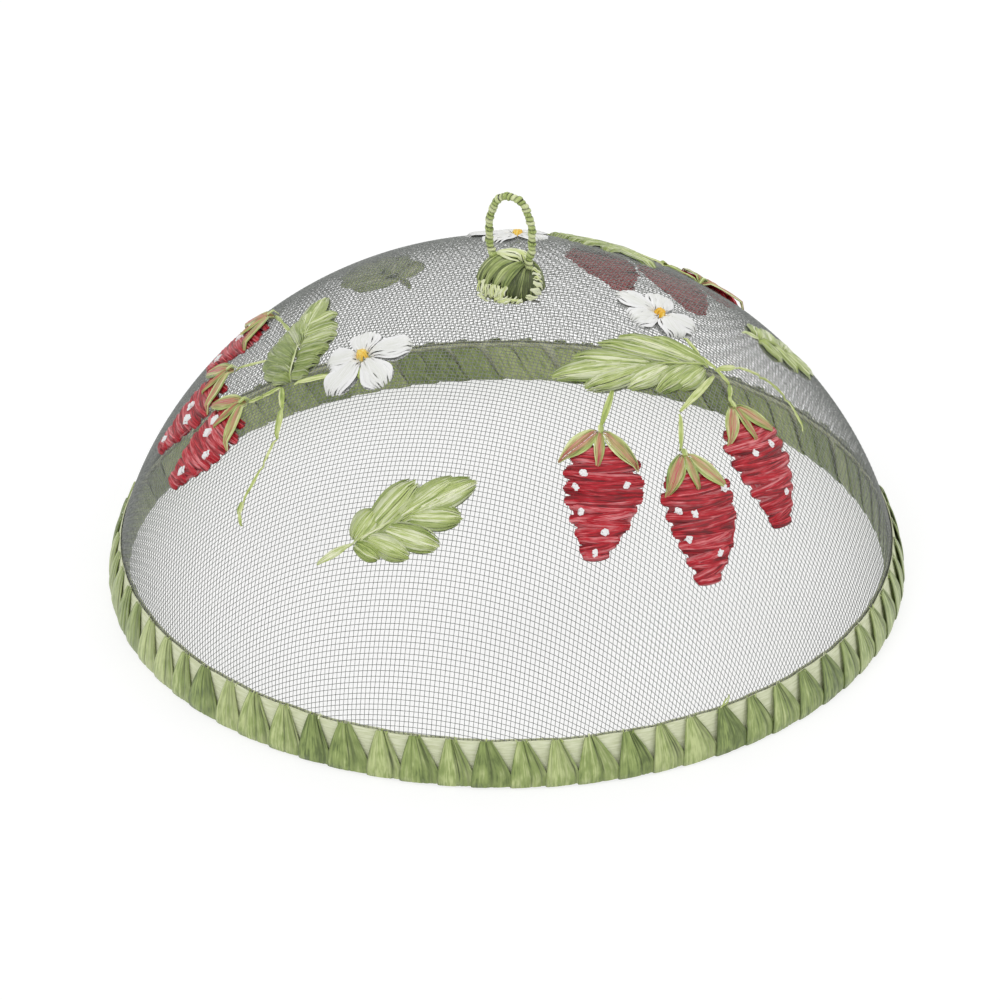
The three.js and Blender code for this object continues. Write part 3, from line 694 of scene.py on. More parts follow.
def raffia_group() -> Tree:
    """The shared look of raffia: fine fibres along each strand, with lighter and darker lengths.

    The fibre value is a noise stretched along the strand. The strand's own number, a coarser
    noise and the fibres together run from the dark to the light colour.

    Returns:
        The node group, with colour, roughness and height.
    """
    tree = bpy.data.node_groups.new("raffia fibres", "ShaderNodeTree")
    sockets = [("INPUT", "Color", name) for name in SHADES] + [("INPUT", "Float", "Shade")]
    sockets += [("OUTPUT", "Color", "Color"), ("OUTPUT", "Float", "Roughness")]
    for way, kind, name in sockets + [("OUTPUT", "Float", "Height")]:
        tree.interface.new_socket(name, in_out=way, socket_type=f"NodeSocket{kind}")
    given = tree.nodes.new("NodeGroupInput").outputs
    strand = joined(tree, "ShaderNodeAttribute", {}, attribute_name="strand")["Vector"]
    second = joined(tree, "ShaderNodeAttribute", {}, attribute_name="tint")["Fac"]
    number = joined(tree, "ShaderNodeSeparateXYZ", {0: strand})["Z"]
    fibres = noise(tree, strand, (2400, 110, 71), 3.0)
    patches = noise(tree, strand, (700, 150, 173), 2.0)
    level = given["Shade"]
    for part, weight in ((fibres, 1.1), (patches, 0.8), (number, 0.5)):
        level = maths(tree, "MULTIPLY_ADD", part, weight, level)
    colour = blend(tree, span(tree, level, 0.8, 1.2), given["Dark"], given["Middle"])
    colour = blend(tree, span(tree, level, 1.15, 1.6), colour, given["Light"])
    # The tint attribute lays the second colour over the fibres; where that colour is dark, it is
    # painted shade.
    shown = maths(tree, "MULTIPLY", second, span(tree, fibres, 0.25, 0.6))
    colour = blend(tree, shown, colour, given["Second"])
    rough = maths(tree, "MULTIPLY_ADD", fibres, 0.25, 0.28)
    made = tree.nodes.new("NodeGroupOutput")
    feed(tree, made, {"Color": colour, "Roughness": rough, "Height": fibres})
    return tree


@dataclass(frozen=True)
class Raffia:
    """A dyed raffia: three shades of its own, and a second colour that the tint attribute lays on.
    """

    name: str
    dark: str
    middle: str
    light: str
    # A dark second colour is painted shade: at strand edges, in creases and between turns.
    second: str
    shade: float = 0.0
    bump: float = 0.5
    sheen: float = 0.15
    through: float = 0.0
    depth: float = 0.0002
    glow: float = 0.002

    def material(self, group: Tree) -> Material:
        """Makes the finish, with its fibres as colour, roughness and bump.

        Args:
            group: the shared look of raffia.

        Returns:
            The material.
        """
        made, tree, cover = new_material(self.name)
        codes = (self.dark, self.middle, self.light, self.second)
        inputs = dict(zip(SHADES, map(linear, codes)))
        inputs["Shade"] = self.shade
        fibres = joined(tree, "ShaderNodeGroup", inputs, node_tree=group)
        bump = {"Strength": self.bump, "Distance": self.depth, "Height": fibres["Height"]}
        looks = {
            "Base Color": fibres["Color"],
            "Roughness": fibres["Roughness"],
            "Normal": joined(tree, "ShaderNodeBump", bump)[0],
            "Sheen Weight": self.sheen,
            "Subsurface Weight": self.through,
            "Subsurface Radius": (self.glow, self.glow, self.glow),
        }
        feed(tree, cover, looks)
        return made


@dataclass(frozen=True)
class Grained:
    """A finish on Object coordinates: two colours mixed by a noise stretched over the object."""

    name: str
    first: str
    second: str
    stretch: tuple[float, float, float]
    roughness: tuple[float, float]
    metallic: float = 0.0
    bump: float = 0.3
    depth: float = 0.0001

    def material(self) -> Material:
        """The material, with the noise as colour, roughness and bump."""
        made, tree, cover = new_material(self.name)
        place = tree.nodes.new("ShaderNodeTexCoord").outputs["Object"]
        grain = noise(tree, place, self.stretch, 4.0)
        share = span(tree, grain, 0.3, 0.7)
        low, high = self.roughness
        rough = {"Value": share, "To Min": low, "To Max": high}
        bump = {"Strength": self.bump, "Distance": self.depth, "Height": grain}
        looks = {
            "Base Color": blend(tree, share, linear(self.first), linear(self.second)),
            "Roughness": joined(tree, "ShaderNodeMapRange", rough)[0],
            "Normal": joined(tree, "ShaderNodeBump", bump)[0],
            "Metallic": self.metallic,
        }
        feed(tree, cover, looks)
        return made


class Finishes:
    """Every finish of the cover, built once."""

    def __init__(self) -> None:
        """Builds the raffias, the cloth's wire, the steel and the binding."""
        group = raffia_group()

        def raffia(name: str, codes: str, shade: float, **looks: float) -> Material:
            """A raffia by its name, its four colours and how light it is."""
            return Raffia(f"raffia {name}", *codes.split(), shade, **looks).material(group)

        # The fourth code of each raffia is its second colour; the dark ones are painted shade at
        # strand edges and in creases.
        self.leaf = raffia("leaf green", "82984a c0cf7e f6fad6 5f7434", 0.08, through=0.3)
        self.stem = raffia("stem green", "879e46 bccc72 ecf2b8 6e7f3c", 0.1, through=0.2)
        self.rim = raffia("rim green", "66783e 9db066 d2de9c 3d4a22", 0.04)
        self.fold = raffia("fold green", "55672d 9aab5e dde8a2 232b12", 0.03, bump=0.6)
        self.pale = raffia("pale green", "6c8034 c6d880 f2f8c4 2a3312", 0.08, bump=0.8)
        self.crumpled = raffia("crumpled ends", "93a650 e4eea2 fbffdc 46511f", 0.22, bump=0.8)
        self.sepal = raffia("sepal green", "748e42 b6c672 eaf2b4 cc4a62", 0.04, through=0.2)
        berry = {"bump": 0.6, "sheen": 0.05, "through": 0.6}
        # The berry's pale pink light colour is partly painted sheen, streaks of highlight along the
        # strands, and partly its own varied tone.
        self.berry = raffia("berry red", "74030f cc0826 f69ca0 52020a", -0.02, **berry)
        self.petal = raffia("petal white", "d6d6d4 ffffff ffffff dfe2d2", 0.35, through=0.1)
        self.eye = raffia("eye yellow", "f0a818 ffca34 ffec8e b9c25a", 0.1)
        wire = Grained("cloth wire", "848785", "acafab", (900, 900, 900), (0.45, 0.65), 0.2)
        steel = Grained("drawn steel", "8d8d89", "a5a5a0", (700, 700, 90), (0.28, 0.42), 0.9)
        binding = Grained("binding", "d9dfb4", "f2f6d6", (160, 160, 1500), (0.55, 0.75), bump=0.4)
        self.wire, self.steel, self.binding = (look.material() for look in (wire, steel, binding))


# The cloth


@dataclass(frozen=True)
class WireCloth:
    """Wire cloth pressed from a flat disc.

    A wire's place follows from the flat cloth. With s the way from the apex down the dome and
    t = s / reach, the flat distance is s (1 - pull t^2 + give t^4) (1 + corner t^2 cos 4a), and
    the flat turn is a - (shear t^2 / 4) sin 4a. Wires lie where a flat coordinate is a whole
    number of pitches and a half, and each goes over and under the wires that it crosses. blank
    is the flat disc's radius, and farthest the longest way that is tried. A wire is drawn with
    three sides, wider by plump so that it covers as much as a round one.
    """

    dome: Dome
    finishes: Finishes
    pitch: float = 0.0018054
    wire: float = 0.00028
    plump: float = 1.12
    blank: float = 0.208
    farthest: float = 0.27
    reach: float = 0.249
    pull: float = 0.3854
    give: float = 0.2106
    corner: float = 0.0248
    shear: float = 0.2173
    turn: float = -12.47
    foot: float = 0.004
    steps: int = 30
    profile_steps: int = 4000

    def profile(self) -> tuple[Array, Array, Array]:
        """The dome's section by its own angle: way from the apex, radius and height."""
        angle = np.linspace(np.pi / 2, 0.0, self.profile_steps)
        r = self.dome.radius * np.cos(angle).clip(0) ** (2 / self.dome.spread)
        z = self.dome.height * np.sin(angle) ** (2 / self.dome.rise)
        way = np.concatenate([[0], np.cumsum(np.hypot(np.diff(r), np.diff(z)))])
        return way, r, z

    def placed(self, across: Array, up: Array) -> tuple[Array, Array]:
        """Points of the pressed cloth.

        The two formulas are turned round by repetition, which closes in quickly.

        Args:
            across: flat coordinate, in pitches.
            up: the other flat coordinate.

        Returns:
            The points, and which of them lie above the foot.
        """
        rho = np.hypot(across, up) * self.pitch
        psi = np.arctan2(across, up)
        way, theta = rho, psi
        for _ in range(self.steps):
            t2 = (way / self.reach) ** 2
            theta = psi + self.shear * t2 / 4 * np.sin(4 * theta)
            shrink = 1 - self.pull * t2 + self.give * t2**2
            way = rho / (shrink * (1 + self.corner * t2 * np.cos(4 * theta)))
            way = np.minimum(way, self.farthest)
        ways, r, z = self.profile()
        radius, height = np.interp(way, ways, r), np.interp(way, ways, z)
        points = around(theta + math.radians(self.turn), radius, height)
        return points, (height > self.foot) & (way < ways[-1])

    def woven(self, name: str, rings: Array, shown: Array) -> None:
        """Makes one piece of wires.

        Each ring is joined to the next of its wire, and a wire's ends are closed.

        Args:
            name: the piece's name.
            rings: wires x crossings x 3 x 3, the three points at each crossing.
            shown: wires x crossings, which of them the piece has.
        """
        corners = np.arange(3)
        number = np.full(shown.shape, -1)
        number[shown] = np.arange(shown.sum())
        both = shown[:, :-1] & shown[:, 1:]
        low, high = (part[both][:, None] * 3 + corners for part in (number[:, :-1], number[:, 1:]))
        near, far = np.roll(low, -1, axis=1), np.roll(high, -1, axis=1)
        walls = np.stack([low, high, far, near], -1).reshape(-1, 4)
        padded = np.pad(shown, ((0, 0), (1, 1)))
        starts = number[shown & ~padded[:, :-2]][:, None] * 3 + corners
        ends = number[shown & ~padded[:, 2:]][:, None] * 3 + corners[::-1]
        faces = [walls, starts, ends]
        made = solid(name, rings[shown].reshape(-1, 3), faces, self.finishes.wire, 180)
        keep(made, Slot.CLOTH, "mesh_dome")

    def family(self, family: Family) -> None:
        """The wires of one family, in two pieces.

        A ring of three points stands at each crossing, half a wire's thickness over or under
        the cloth's middle.

        Args:
            family: which of the two.
        """
        count = int(self.blank / self.pitch)
        whole = np.arange(-count, count + 1, dtype=float)
        fixed, moving = np.meshgrid(whole + 0.5, whole + 0.5, indexing="ij")
        warp = family is Family.WARP
        points, inside = self.placed(*((fixed, moving) if warp else (moving, fixed)))
        normal = self.dome.outward(points)
        side = unit(np.cross(unit(np.gradient(points, axis=1)), normal))
        over = np.where((np.add.outer(whole, whole) % 2 == 0) == warp, 1.0, -1.0)
        radius = self.wire / 2
        middle = points + normal * (over * radius)[..., None]
        turns = np.radians([90, 210, 330])[:, None]
        ring = normal[..., None, :] * np.sin(turns) + side[..., None, :] * np.cos(turns)
        rings = middle[..., None, :] + radius * self.plump * ring
        for half, mask in (("a", fixed < 0), ("b", fixed > 0)):
            self.woven(f"wire_cloth_{family.value}_{half}", rings, inside & mask)

    def build(self) -> None:
        """Both families of wires, in place of the cloth's shell."""
        for family in Family:
            self.family(family)


# The rim


@dataclass(frozen=True)
class Rim:
    """The hem: a pale binding, and one raffia strip sewn over it in fans.

    A section is given as distances outwards from the cloth and heights. A fan's sides, left and
    right, are shares of the pitch, down its outside, round its foot and up its inside. Chance
    moves a stitch by up to wander pitches and leans it by about lean. threads are the shares of
    the pitch where twisted ends stand, and a thread's lean, height and thickness vary in the
    given ranges.
    """

    dome: Dome
    finishes: Finishes
    stitches: int = 72
    across: int = 30
    rings: int = 19
    thickness: float = 0.0004
    section: tuple = (
        (0.00150, 0.0217), (0.0020, 0.0185), (0.0025, 0.0130), (0.0027, 0.0075), (0.0025, 0.0030),
        (0.0017, 0.0011), (-0.0012, 0.0010), (-0.0042, 0.0011), (-0.0052, 0.0030),
        (-0.0048, 0.0075), (-0.0036, 0.0130), (-0.0026, 0.0172), (-0.0020, 0.0190),
    )
    left: tuple = (0.20, 0.14, 0.06, 0.01, -0.01, 0.0, 0.02, 0.08, 0.20, 0.40, 0.60, 0.78, 0.90)
    right: tuple = (0.50, 0.64, 0.87, 1.04, 1.05, 1.05, 1.04, 1.10, 1.20, 1.36, 1.50, 1.62, 1.70)
    wander: float = 0.09
    lean: float = 0.012
    strip_length: float = 0.055
    strip_width: float = 0.009
    fullness: float = 0.0007
    crease_depth: float = 0.00042
    crease_width: float = 0.026
    edge_depth: float = 0.0002
    edge_width: float = 0.03
    seed: int = 41
    threads: tuple = (0.21, 0.35, 0.49)
    thread_seed: int = 43
    thread_foot: float = 0.0206
    thread_out: float = 0.0015
    thread_leans: tuple = (-0.0011, 0.0011)
    thread_heights: tuple = (0.0011, 0.0024)
    thread_radii: tuple = (0.0003, 0.0006)
    tail: tuple = ((30.6, 0.984), (33.6, 0.974))
    lining_sectors: int = 288
    lining_top: float = 0.0212
    lining_section: tuple = (
        (0.00065, 0.0212), (0.00065, 0.012), (0.0007, 0.0018), (-0.0034, 0.0018),
        (-0.0034, 0.0048), (-0.0014, 0.0125), (-0.00075, 0.0210), (-0.0011, 0.0212),
        (-0.0019, 0.0125), (-0.0038, 0.0045), (-0.0038, 0.0013), (0.0011, 0.0013),
        (0.0012, 0.012), (0.0011, 0.0213),
    )

    TAIL: ClassVar[Satin] = Satin(
        2, 0.0014, 0.8, 0.7, 0.5, 0.0006, 0.0006, wobble=0.0006, rings=9
    )

    def ring(self, azimuth: Array, out: Array, z: Array) -> Array:
        """Points at an azimuth, a distance out from the cloth's own radius, and a height."""
        return around(azimuth, self.dome.radius_at(np.clip(z, 0, None)) + out, z)

    def sides(self, run: Array) -> tuple[Array, Array]:
        """A fan's sides on its way round the hem.

        Args:
            run: shares of the way along the section.

        Returns:
            Its left and its right side at each, in pitches.
        """
        section = np.array(self.section)
        fine = through(section, len(section) * 40)
        near = [np.argmin(np.linalg.norm(fine - corner, axis=1)) for corner in section]
        knots = np.array(near) / (len(fine) - 1)
        return np.interp(run, knots, self.left), np.interp(run, knots, self.right)

    def creases(self, u: Array, rng: np.random.Generator) -> Array:
        """The depth of the creases across each fan: narrow bell-shaped grooves.

        Args:
            u: shares of the way across a fan.
            rng: the source of chance.

        Returns:
            Stitches x 1 x shares, where 1 is a full groove.
        """
        n, middle = self.stitches, 0.42
        where = [rng.uniform(middle, 0.98, (n, 1, 6, 1)), rng.uniform(0.04, middle, (n, 1, 3, 1))]
        where = np.concatenate(where, 2)
        deep = rng.uniform(0.25, 1.0, where.shape) * np.where(where > middle, 1.0, 0.45)
        return (deep * np.exp(-(((u - where) / self.crease_width) ** 2))).sum(2)

    def fans(self) -> None:
        """The sewn strip.

        Each stitch is a grid. Its sides run between the given shares of the pitch, so that its
        fibres close in towards the hole. Most of its creases are on its right, and both edges
        fall away towards the next stitch.
        """
        rng = np.random.default_rng(self.seed)
        n = self.stitches
        path = through(np.array(self.section), self.rings)
        run = np.linspace(0, 1, self.rings)
        left, right = (side[:, None] for side in self.sides(run))
        u = np.linspace(0, 1, self.across) ** 0.85
        middle = np.arange(n) + rng.uniform(-self.wander, self.wander, n)
        width = np.diff(np.append(middle, middle[0] + n))[:, None, None]
        side = left + (right - left) * u
        side = side + rng.normal(0, self.lean, (n, 1, 1)) * (1 - np.abs(2 * run - 1))[:, None]
        azimuth = 2 * np.pi / n * (middle[:, None, None] + width * side)
        fade = np.interp(run, [0, 0.12, 0.34, 0.5, 0.66, 1], [0.9, 1, 0.7, 0.3, 0.6, 0.6])[:, None]
        grooves = self.creases(u, rng) * fade
        edge = np.exp(-((u / self.edge_width) ** 2))
        swell = 0.0001 + self.fullness * (1 - u**2)
        push = swell - self.crease_depth * grooves - self.edge_depth * edge
        slope = unit(np.gradient(path, axis=0))

        def face(depth: Array) -> Array:
            """The grid at a depth along the section's own outward direction."""
            out = path[:, 0, None] - slope[:, 1, None] * depth
            return self.ring(azimuth, out, path[:, 1, None] + slope[:, 0, None] * depth)

        whole = np.ones_like(azimuth)
        number = rng.uniform(0, 1, (n, 1, 1)) * whole
        long = (run * self.strip_length)[:, None] * whole
        marks = np.stack([u * self.strip_width * whole, long, number], -1)
        # Painted shade: the dark second colour in the creases and on the edges where one fan meets
        # the next; each fan's right half is darker too. Painted light: the hem's inside, which lies
        # in shade, gets less of the dark.
        panel = 0.35 * np.clip((u - 0.45) * 3, 0, 1) * fade
        inside = np.interp(run, [0.5, 0.6], [1, 0.3])[:, None]
        tint = np.clip(0.8 * grooves + 0.8 * edge + panel, 0, 0.95) * inside
        skin = Skin()
        points = there_and_back(face(push), face(push - self.thickness))
        skin.add(points, there_and_back(marks, marks), there_and_back(tint, tint))
        keep(skin.build("rim_fans", self.finishes.rim), Slot.GREEN, "rim_wrap")
        self.thread_ends(middle, rng)

    def thread_ends(self, middle: Array, rng: np.random.Generator) -> None:
        """Little twisted ends of raffia that stand up at both corners of each gathered top.

        Args:
            middle: where each stitch starts, in stitches.
            rng: the source of chance.
        """
        corner = np.concatenate([middle + share for share in self.threads])
        one = (len(corner), 1, 1)
        share = np.linspace(0, 1, 5)[None, :, None]
        turn = np.array([0, np.pi / 2, np.pi, 3 * np.pi / 2])
        lean = rng.uniform(*self.thread_leans, one) * share**1.5
        tall = rng.uniform(*self.thread_heights, one)
        thick = rng.uniform(*self.thread_radii, one) * (1.15 - 0.7 * share)
        beside = lean + thick * np.cos(turn)
        bend = 0.0004 * share
        out = self.thread_out + bend + 0.6 * thick * np.sin(turn) - 0.0006 * share**2
        azimuth = 2 * np.pi / self.stitches * corner[:, None, None] + beside / self.dome.radius
        whole = np.ones_like(azimuth)
        z = self.thread_foot + tall * share * whole
        number = rng.uniform(0, 1, one) * whole
        marks = np.stack([beside, z - 0.02, number], -1)
        tint = (rng.uniform(0, 1, one) ** 2 * 0.9) * whole
        stitcher = Stitcher(self.thread_seed)
        stitcher.skin.add(self.ring(azimuth, out, z), marks, tint)
        tail = Chart.between(self.dome, *self.tail)
        stitcher.bundle(tail, (0, 0), (0, tail.length), self.TAIL)
        keep(stitcher.skin.build("rim_thread_ends", self.finishes.leaf), Slot.GREEN)

    def lining(self) -> None:
        """The binding: a closed section carried round the hem, with a slightly uneven top."""
        out, height = np.array(self.lining_section).T
        azimuth = np.linspace(0, 2 * np.pi, self.lining_sectors, endpoint=False)[:, None]
        uneven = np.sin(azimuth * 31) * 0.00018 + np.sin(azimuth * 77 + 1) * 0.00012
        points = self.ring(azimuth, out, height + uneven * (height / self.lining_top) ** 6)
        index = np.arange(points.shape[0] * points.shape[1]).reshape(points.shape[:2])
        beside, further = np.roll(index, -1, axis=1), np.roll(index, -1, axis=0)
        quads = np.stack([index, beside, np.roll(further, -1, axis=1), further], -1)
        flat = points.reshape(-1, 3)
        faces = [facing_out(flat, quads.reshape(-1, 4))]
        made = solid("rim_lining", flat, faces, self.finishes.binding, 35)
        keep(made, Slot.BINDING, "rim_binding")

    def build(self) -> None:
        """The lining and the fans over it."""
        self.lining()
        self.fans()


# The handle


@dataclass(frozen=True)
class Handle:
    """The loop's raffia winding, the bun that it stands in, and the pad inside the dome.

    The outline gives the loop as shares of half its width and of its height. A strip of the bun
    is its root and its tip on the unit disk, and a bundle of the crown or ends also its width.
    seat is how far the bun's foot lies over the cloth, and padding how much the base lies under
    the strips, sideways and at the top. edge is how near the disk's edge the strands start.
    """

    dome: Dome
    finishes: Finishes
    turn: float = 24.0
    shift: float = 0.0018
    bun_height: float = 0.0155
    legs: float = 0.0174
    leg_depth: float = 0.0034
    loop_width: float = 0.0204
    loop_height: float = 0.0292
    outline: tuple = ((0.96, 0.14), (1, 0.36), (0.93, 0.62), (0.66, 0.87), (0.33, 0.975))
    turns: int = 38
    steps: int = 12
    wind_radius: float = 0.00142
    wind_width: float = 0.0020
    wind_thickness: float = 0.00038
    seeds: tuple = (5, 6, 7)
    seat: float = 0.0004
    padding: tuple = (0.0009, 0.0012)
    edge: float = 0.98
    strip_step: float = 0.00006
    end_width: float = 1.25
    pad_radius: float = 0.0112
    pad_height: float = 0.0021
    pad_seat: float = 0.0118
    pad_drop: float = 0.0009
    overlap: float = 0.0003

    # Painted shade: the base under the strips is mostly the dark second colour, so that the gaps
    # between the strips look shaded.
    BASE: ClassVar[Satin] = Satin(
        26, 1.9, 0.3, 0.3, 0.5, 0.0, 0.0, ragged=0, rings=12, thickness=0.0009, sink=0,
        edge_shade_and_tone=0.8, middle_tone_and_shade=0.8,
    )
    FOLD: ClassVar[Satin] = Satin(
        6, 0.46, 0.55, 0.8, 0.6, 0.0006, 0.0, rings=11, thickness=0.0004, sink=-0.0006,
        overlap=1.15, edge_shade_and_tone=0.95,
    )
    END: ClassVar[Satin] = Satin(
        3, 0.1, 0.75, 0.65, 0.5, 0.0008, 0.0012, ragged=0.1, wobble=0.02, rings=9,
        thickness=0.0004, sink=0.0, overlap=1.15, edge_shade_and_tone=0.2,
    )
    PAD: ClassVar[Satin] = Satin(
        16, 1.95, 0.3, 0.3, 0.5, 0.0002, 0.0, ragged=0.02, rings=9, thickness=0.0005, sink=0,
        overlap=1.5, edge_shade_and_tone=0.4,
    )
    BACK: ClassVar[tuple] = (
        ((0.45, 0.1), (1.0, 0.2)), ((0.4, 0.25), (0.9, 0.6)), ((0.25, 0.35), (0.55, 0.95)),
        ((0.1, 0.4), (0.1, 1.06)), ((-0.1, 0.4), (-0.42, 1.0)), ((-0.25, 0.3), (-0.82, 0.72)),
    )
    RIGHT: ClassVar[tuple] = (
        ((0.19, -0.1), (-0.1, -0.98)), ((0.22, -0.14), (0.14, -1.04)), ((0.26, -0.16), (0.4, -1.0)),
        ((0.31, -0.16), (0.66, -0.84)), ((0.36, -0.14), (0.88, -0.56)),
        ((0.44, -0.12), (1.02, -0.2)),
    )
    LEFT: ClassVar[tuple] = (
        ((0.22, 0.28), (-0.98, 0.34)), ((0.1, 0.26), (-0.96, 0.1)), ((0.12, 0.2), (-0.86, -0.14)),
        ((0.14, 0.14), (-0.76, -0.34)), ((0.16, 0.06), (-0.62, -0.52)),
        ((0.18, -0.02), (-0.42, -0.66)), ((0.2, -0.08), (-0.2, -0.74)),
    )
    # Partly painted highlight: the crown's pale strips stand for light on the tops of the folds,
    # and partly for their wear.
    CROWN: ClassVar[tuple] = (
        ((-0.3, 0.34), (0.2, -0.06), 0.26), ((-0.22, 0.46), (0.34, 0.06), 0.26),
    )
    BESIDE: ClassVar[tuple] = (
        ((0.34, -0.22), (0.66, -0.12), 0.07), ((0.38, -0.3), (0.72, -0.2), 0.07),
        ((0.42, -0.38), (0.78, -0.28), 0.07), ((0.44, -0.48), (0.84, -0.38), 0.09),
        ((0.42, -0.66), (0.88, -0.5), 0.1), ((0.34, -0.84), (0.8, -0.66), 0.09),
    )
    ENDS: ClassVar[tuple] = (
        ((-0.66, -0.24), (-0.88, -0.44), 0.12), ((-0.6, -0.31), (-0.64, -0.56), 0.1),
        ((-0.53, -0.32), (-0.78, -0.6), 0.12), ((-0.46, -0.46), (-0.7, -0.72), 0.12),
        ((-0.38, -0.51), (-0.54, -0.82), 0.12), ((-0.29, -0.54), (-0.42, -0.88), 0.12),
        ((-0.23, -0.57), (-0.36, -0.86), 0.1), ((-0.15, -0.64), (-0.3, -0.92), 0.11),
        ((-0.09, -0.62), (-0.2, -0.86), 0.1), ((-0.5, -0.92), (-0.17, -0.81), 0.09),
        ((-0.41, -0.98), (-0.04, -0.88), 0.1), ((-0.24, -1.02), (0.05, -0.88), 0.09),
        ((-0.03, -0.98), (0.22, -0.88), 0.09), ((0.1, -1.0), (0.34, -0.88), 0.09),
        ((-0.98, -0.41), (-0.68, -0.72), 0.1), ((-0.9, -0.52), (-0.62, -0.9), 0.1),
    )

    def loop_line(self, count: int) -> Array:
        """The wire's middle line above the bun.

        Args:
            count: how many points it has.

        Returns:
            Across and up in the handle's plane, one point in each row.
        """
        half, foot = self.legs / 2, self.dome.height + self.bun_height - self.overlap
        side = [(half, foot - self.leg_depth), (half, foot)]
        side += [(a * self.loop_width / 2, foot + b * self.loop_height) for a, b in self.outline]
        back = [(-a, b) for a, b in side][::-1]
        return through(np.array(side + [(0, foot + self.loop_height)] + back), count)

    def in_plane(self, across: Array, up: Array, out: Array) -> Array:
        """Points of the handle's own plane, and beside it.

        Args:
            across: metres along the plane.
            up: the height.
            out: metres out of the plane.

        Returns:
            The points.
        """
        turn = math.radians(90 - self.turn)
        flat = (math.sin(turn), -math.cos(turn))
        normal = (math.sin(turn - math.pi / 2), -math.cos(turn - math.pi / 2))
        x = across * flat[0] + out * normal[0] + self.shift
        return np.stack([x, across * flat[1] + out * normal[1], up], -1)

    def winding(self) -> None:
        """The raffia round the loop.

        The strip's middle goes round the wire once for each turn, at a radius that swells and
        shrinks a little, and its section is a flat lens.
        """
        count = self.turns * self.steps + 1
        line = self.loop_line(count)
        slope = unit(np.gradient(line, axis=0))
        angle = 2 * np.pi * self.turns * np.linspace(0, 1, count)
        swell = 1 + 0.14 * np.sin(angle * 0.37) + 0.1 * np.sin(angle * 0.83)
        inward = np.stack([slope[:, 1], -slope[:, 0]], -1) * np.cos(angle)[:, None]
        outward = np.concatenate([inward, np.sin(angle)[:, None]], -1)
        flat = np.concatenate([line, np.zeros((count, 1))], -1)
        centre = flat + outward * (self.wind_radius * swell)[:, None]
        wide = unit(np.cross(unit(np.gradient(centre, axis=0)), outward))
        angle = angle[:, None]
        shares = np.array([-1, -0.5, 0, 0.5, 1, 0.5, 0, -0.5])
        rises = np.array([0, 0.8, 1, 0.8, 0, -0.9, -1, -0.9]) * self.wind_thickness
        across = shares * self.wind_width * (1 + 0.18 * np.sin(angle * 0.61)) / 2
        local = centre[:, None] + wide[:, None] * across[..., None]
        local = local + outward[:, None] * rises[:, None]
        points = self.in_plane(local[..., 0], local[..., 1], local[..., 2])
        whole = np.ones_like(across)
        number = 0.5 + 0.5 * np.sin(angle * 0.29)
        marks = np.stack([across, angle * self.wind_radius * whole, number * whole], -1)
        # Painted shade: the dark second colour on the strip's edges, in patches, where one turn
        # meets the next.
        patch = 0.65 + 0.35 * np.sin(angle * 0.43 + 1)
        tint = np.clip(shares**2 * 1.3 * patch, 0, 0.95)
        skin = Skin()
        skin.add(points[None], marks[None], tint[None])
        keep(skin.build("handle_winding", self.finishes.pale), Slot.GREEN, "handle_wrap")

    def bun(self) -> None:
        """The bun: a full mound of strands, broad strips laid over it, and crumpled ends."""
        middle = np.array([self.shift, 0, 0])
        mound = Mound(middle, self.dome.height + self.seat)
        less, lower = self.padding
        inner = replace(mound, radius=mound.radius - less, height=mound.height - lower)
        folds, ends = Stitcher(self.seeds[0]), Stitcher(self.seeds[2])
        folds.bundle(inner, (-self.edge, 0.0), (self.edge, 0.0), self.BASE)
        folds.bundle(inner, (0.0, -self.edge), (0.0, self.edge), self.BASE)
        back = replace(self.FOLD, middle_tone_and_shade=0.3)
        # Painted shade: the right folds are mostly the dark second colour, for the shade on the
        # bun's right side.
        right = replace(self.FOLD, strands=5, width=0.27, lie=0.0002, middle_tone_and_shade=0.85)
        left = replace(self.FOLD, strands=4, width=0.20, lie=0.0008)
        for strips, form in ((self.BACK, back), (self.RIGHT, right), (self.LEFT, left)):
            for number, (root, tip) in enumerate(strips):
                one = replace(form, lie=form.lie + self.strip_step * number)
                folds.bundle(mound, root, tip, one)
        keep(folds.skin.build("handle_bun_folds", self.finishes.fold), Slot.GREEN, "handle_bun")
        # The pale crown strips are partly painted highlight on the tops of the folds, and partly
        # their wear.
        crown = replace(self.END, strands=6, lie=0.0018)
        beside = replace(self.END, strands=2, lie=0.0011)
        for strips, form in ((self.CROWN, crown), (self.BESIDE, beside), (self.ENDS, self.END)):
            for root, tip, width in strips:
                ends.bundle(mound, root, tip, replace(form, width=width * self.end_width))
        keep(ends.skin.build("handle_bun_ends", self.finishes.crumpled), Slot.GREEN, "handle_bun")

    def pad(self) -> None:
        """The pad inside the dome: strands crossed over a flat mound that hangs downwards."""
        top = self.dome.height_at(self.pad_seat) - self.pad_drop
        middle = np.array([self.shift, 0, 0])
        mound = Mound(middle, top, self.pad_radius, self.pad_height, way_up=-1)
        pad = Stitcher(self.seeds[1])
        pad.bundle(mound, (-self.edge, 0.05), (self.edge, -0.05), self.PAD)
        pad.bundle(mound, (-0.1, -self.edge), (0.1, self.edge), replace(self.PAD, lie=0.0002))
        made = pad.skin.build("handle_pad_strands", self.finishes.fold)
        keep(made, Slot.GREEN, "handle_inner_pad")

    def build(self) -> None:
        """The pad, the bun and the winding."""
        self.pad()
        self.bun()
        self.winding()


# The embroidery


@dataclass(frozen=True)
class Work:
    """What a motif is sewn on and with: its name ends its nodes' names, its seed starts chance."""

    dome: Dome
    finishes: Finishes
    name: str
    seed: int


@dataclass(frozen=True)
class Lobe:
    """A lobe of a leaf: where on the midrib it starts, the place of its tip, and how dark it is."""

    start: float
    tip: Place
    width: float = 0.0130
    shade: float = 0.0


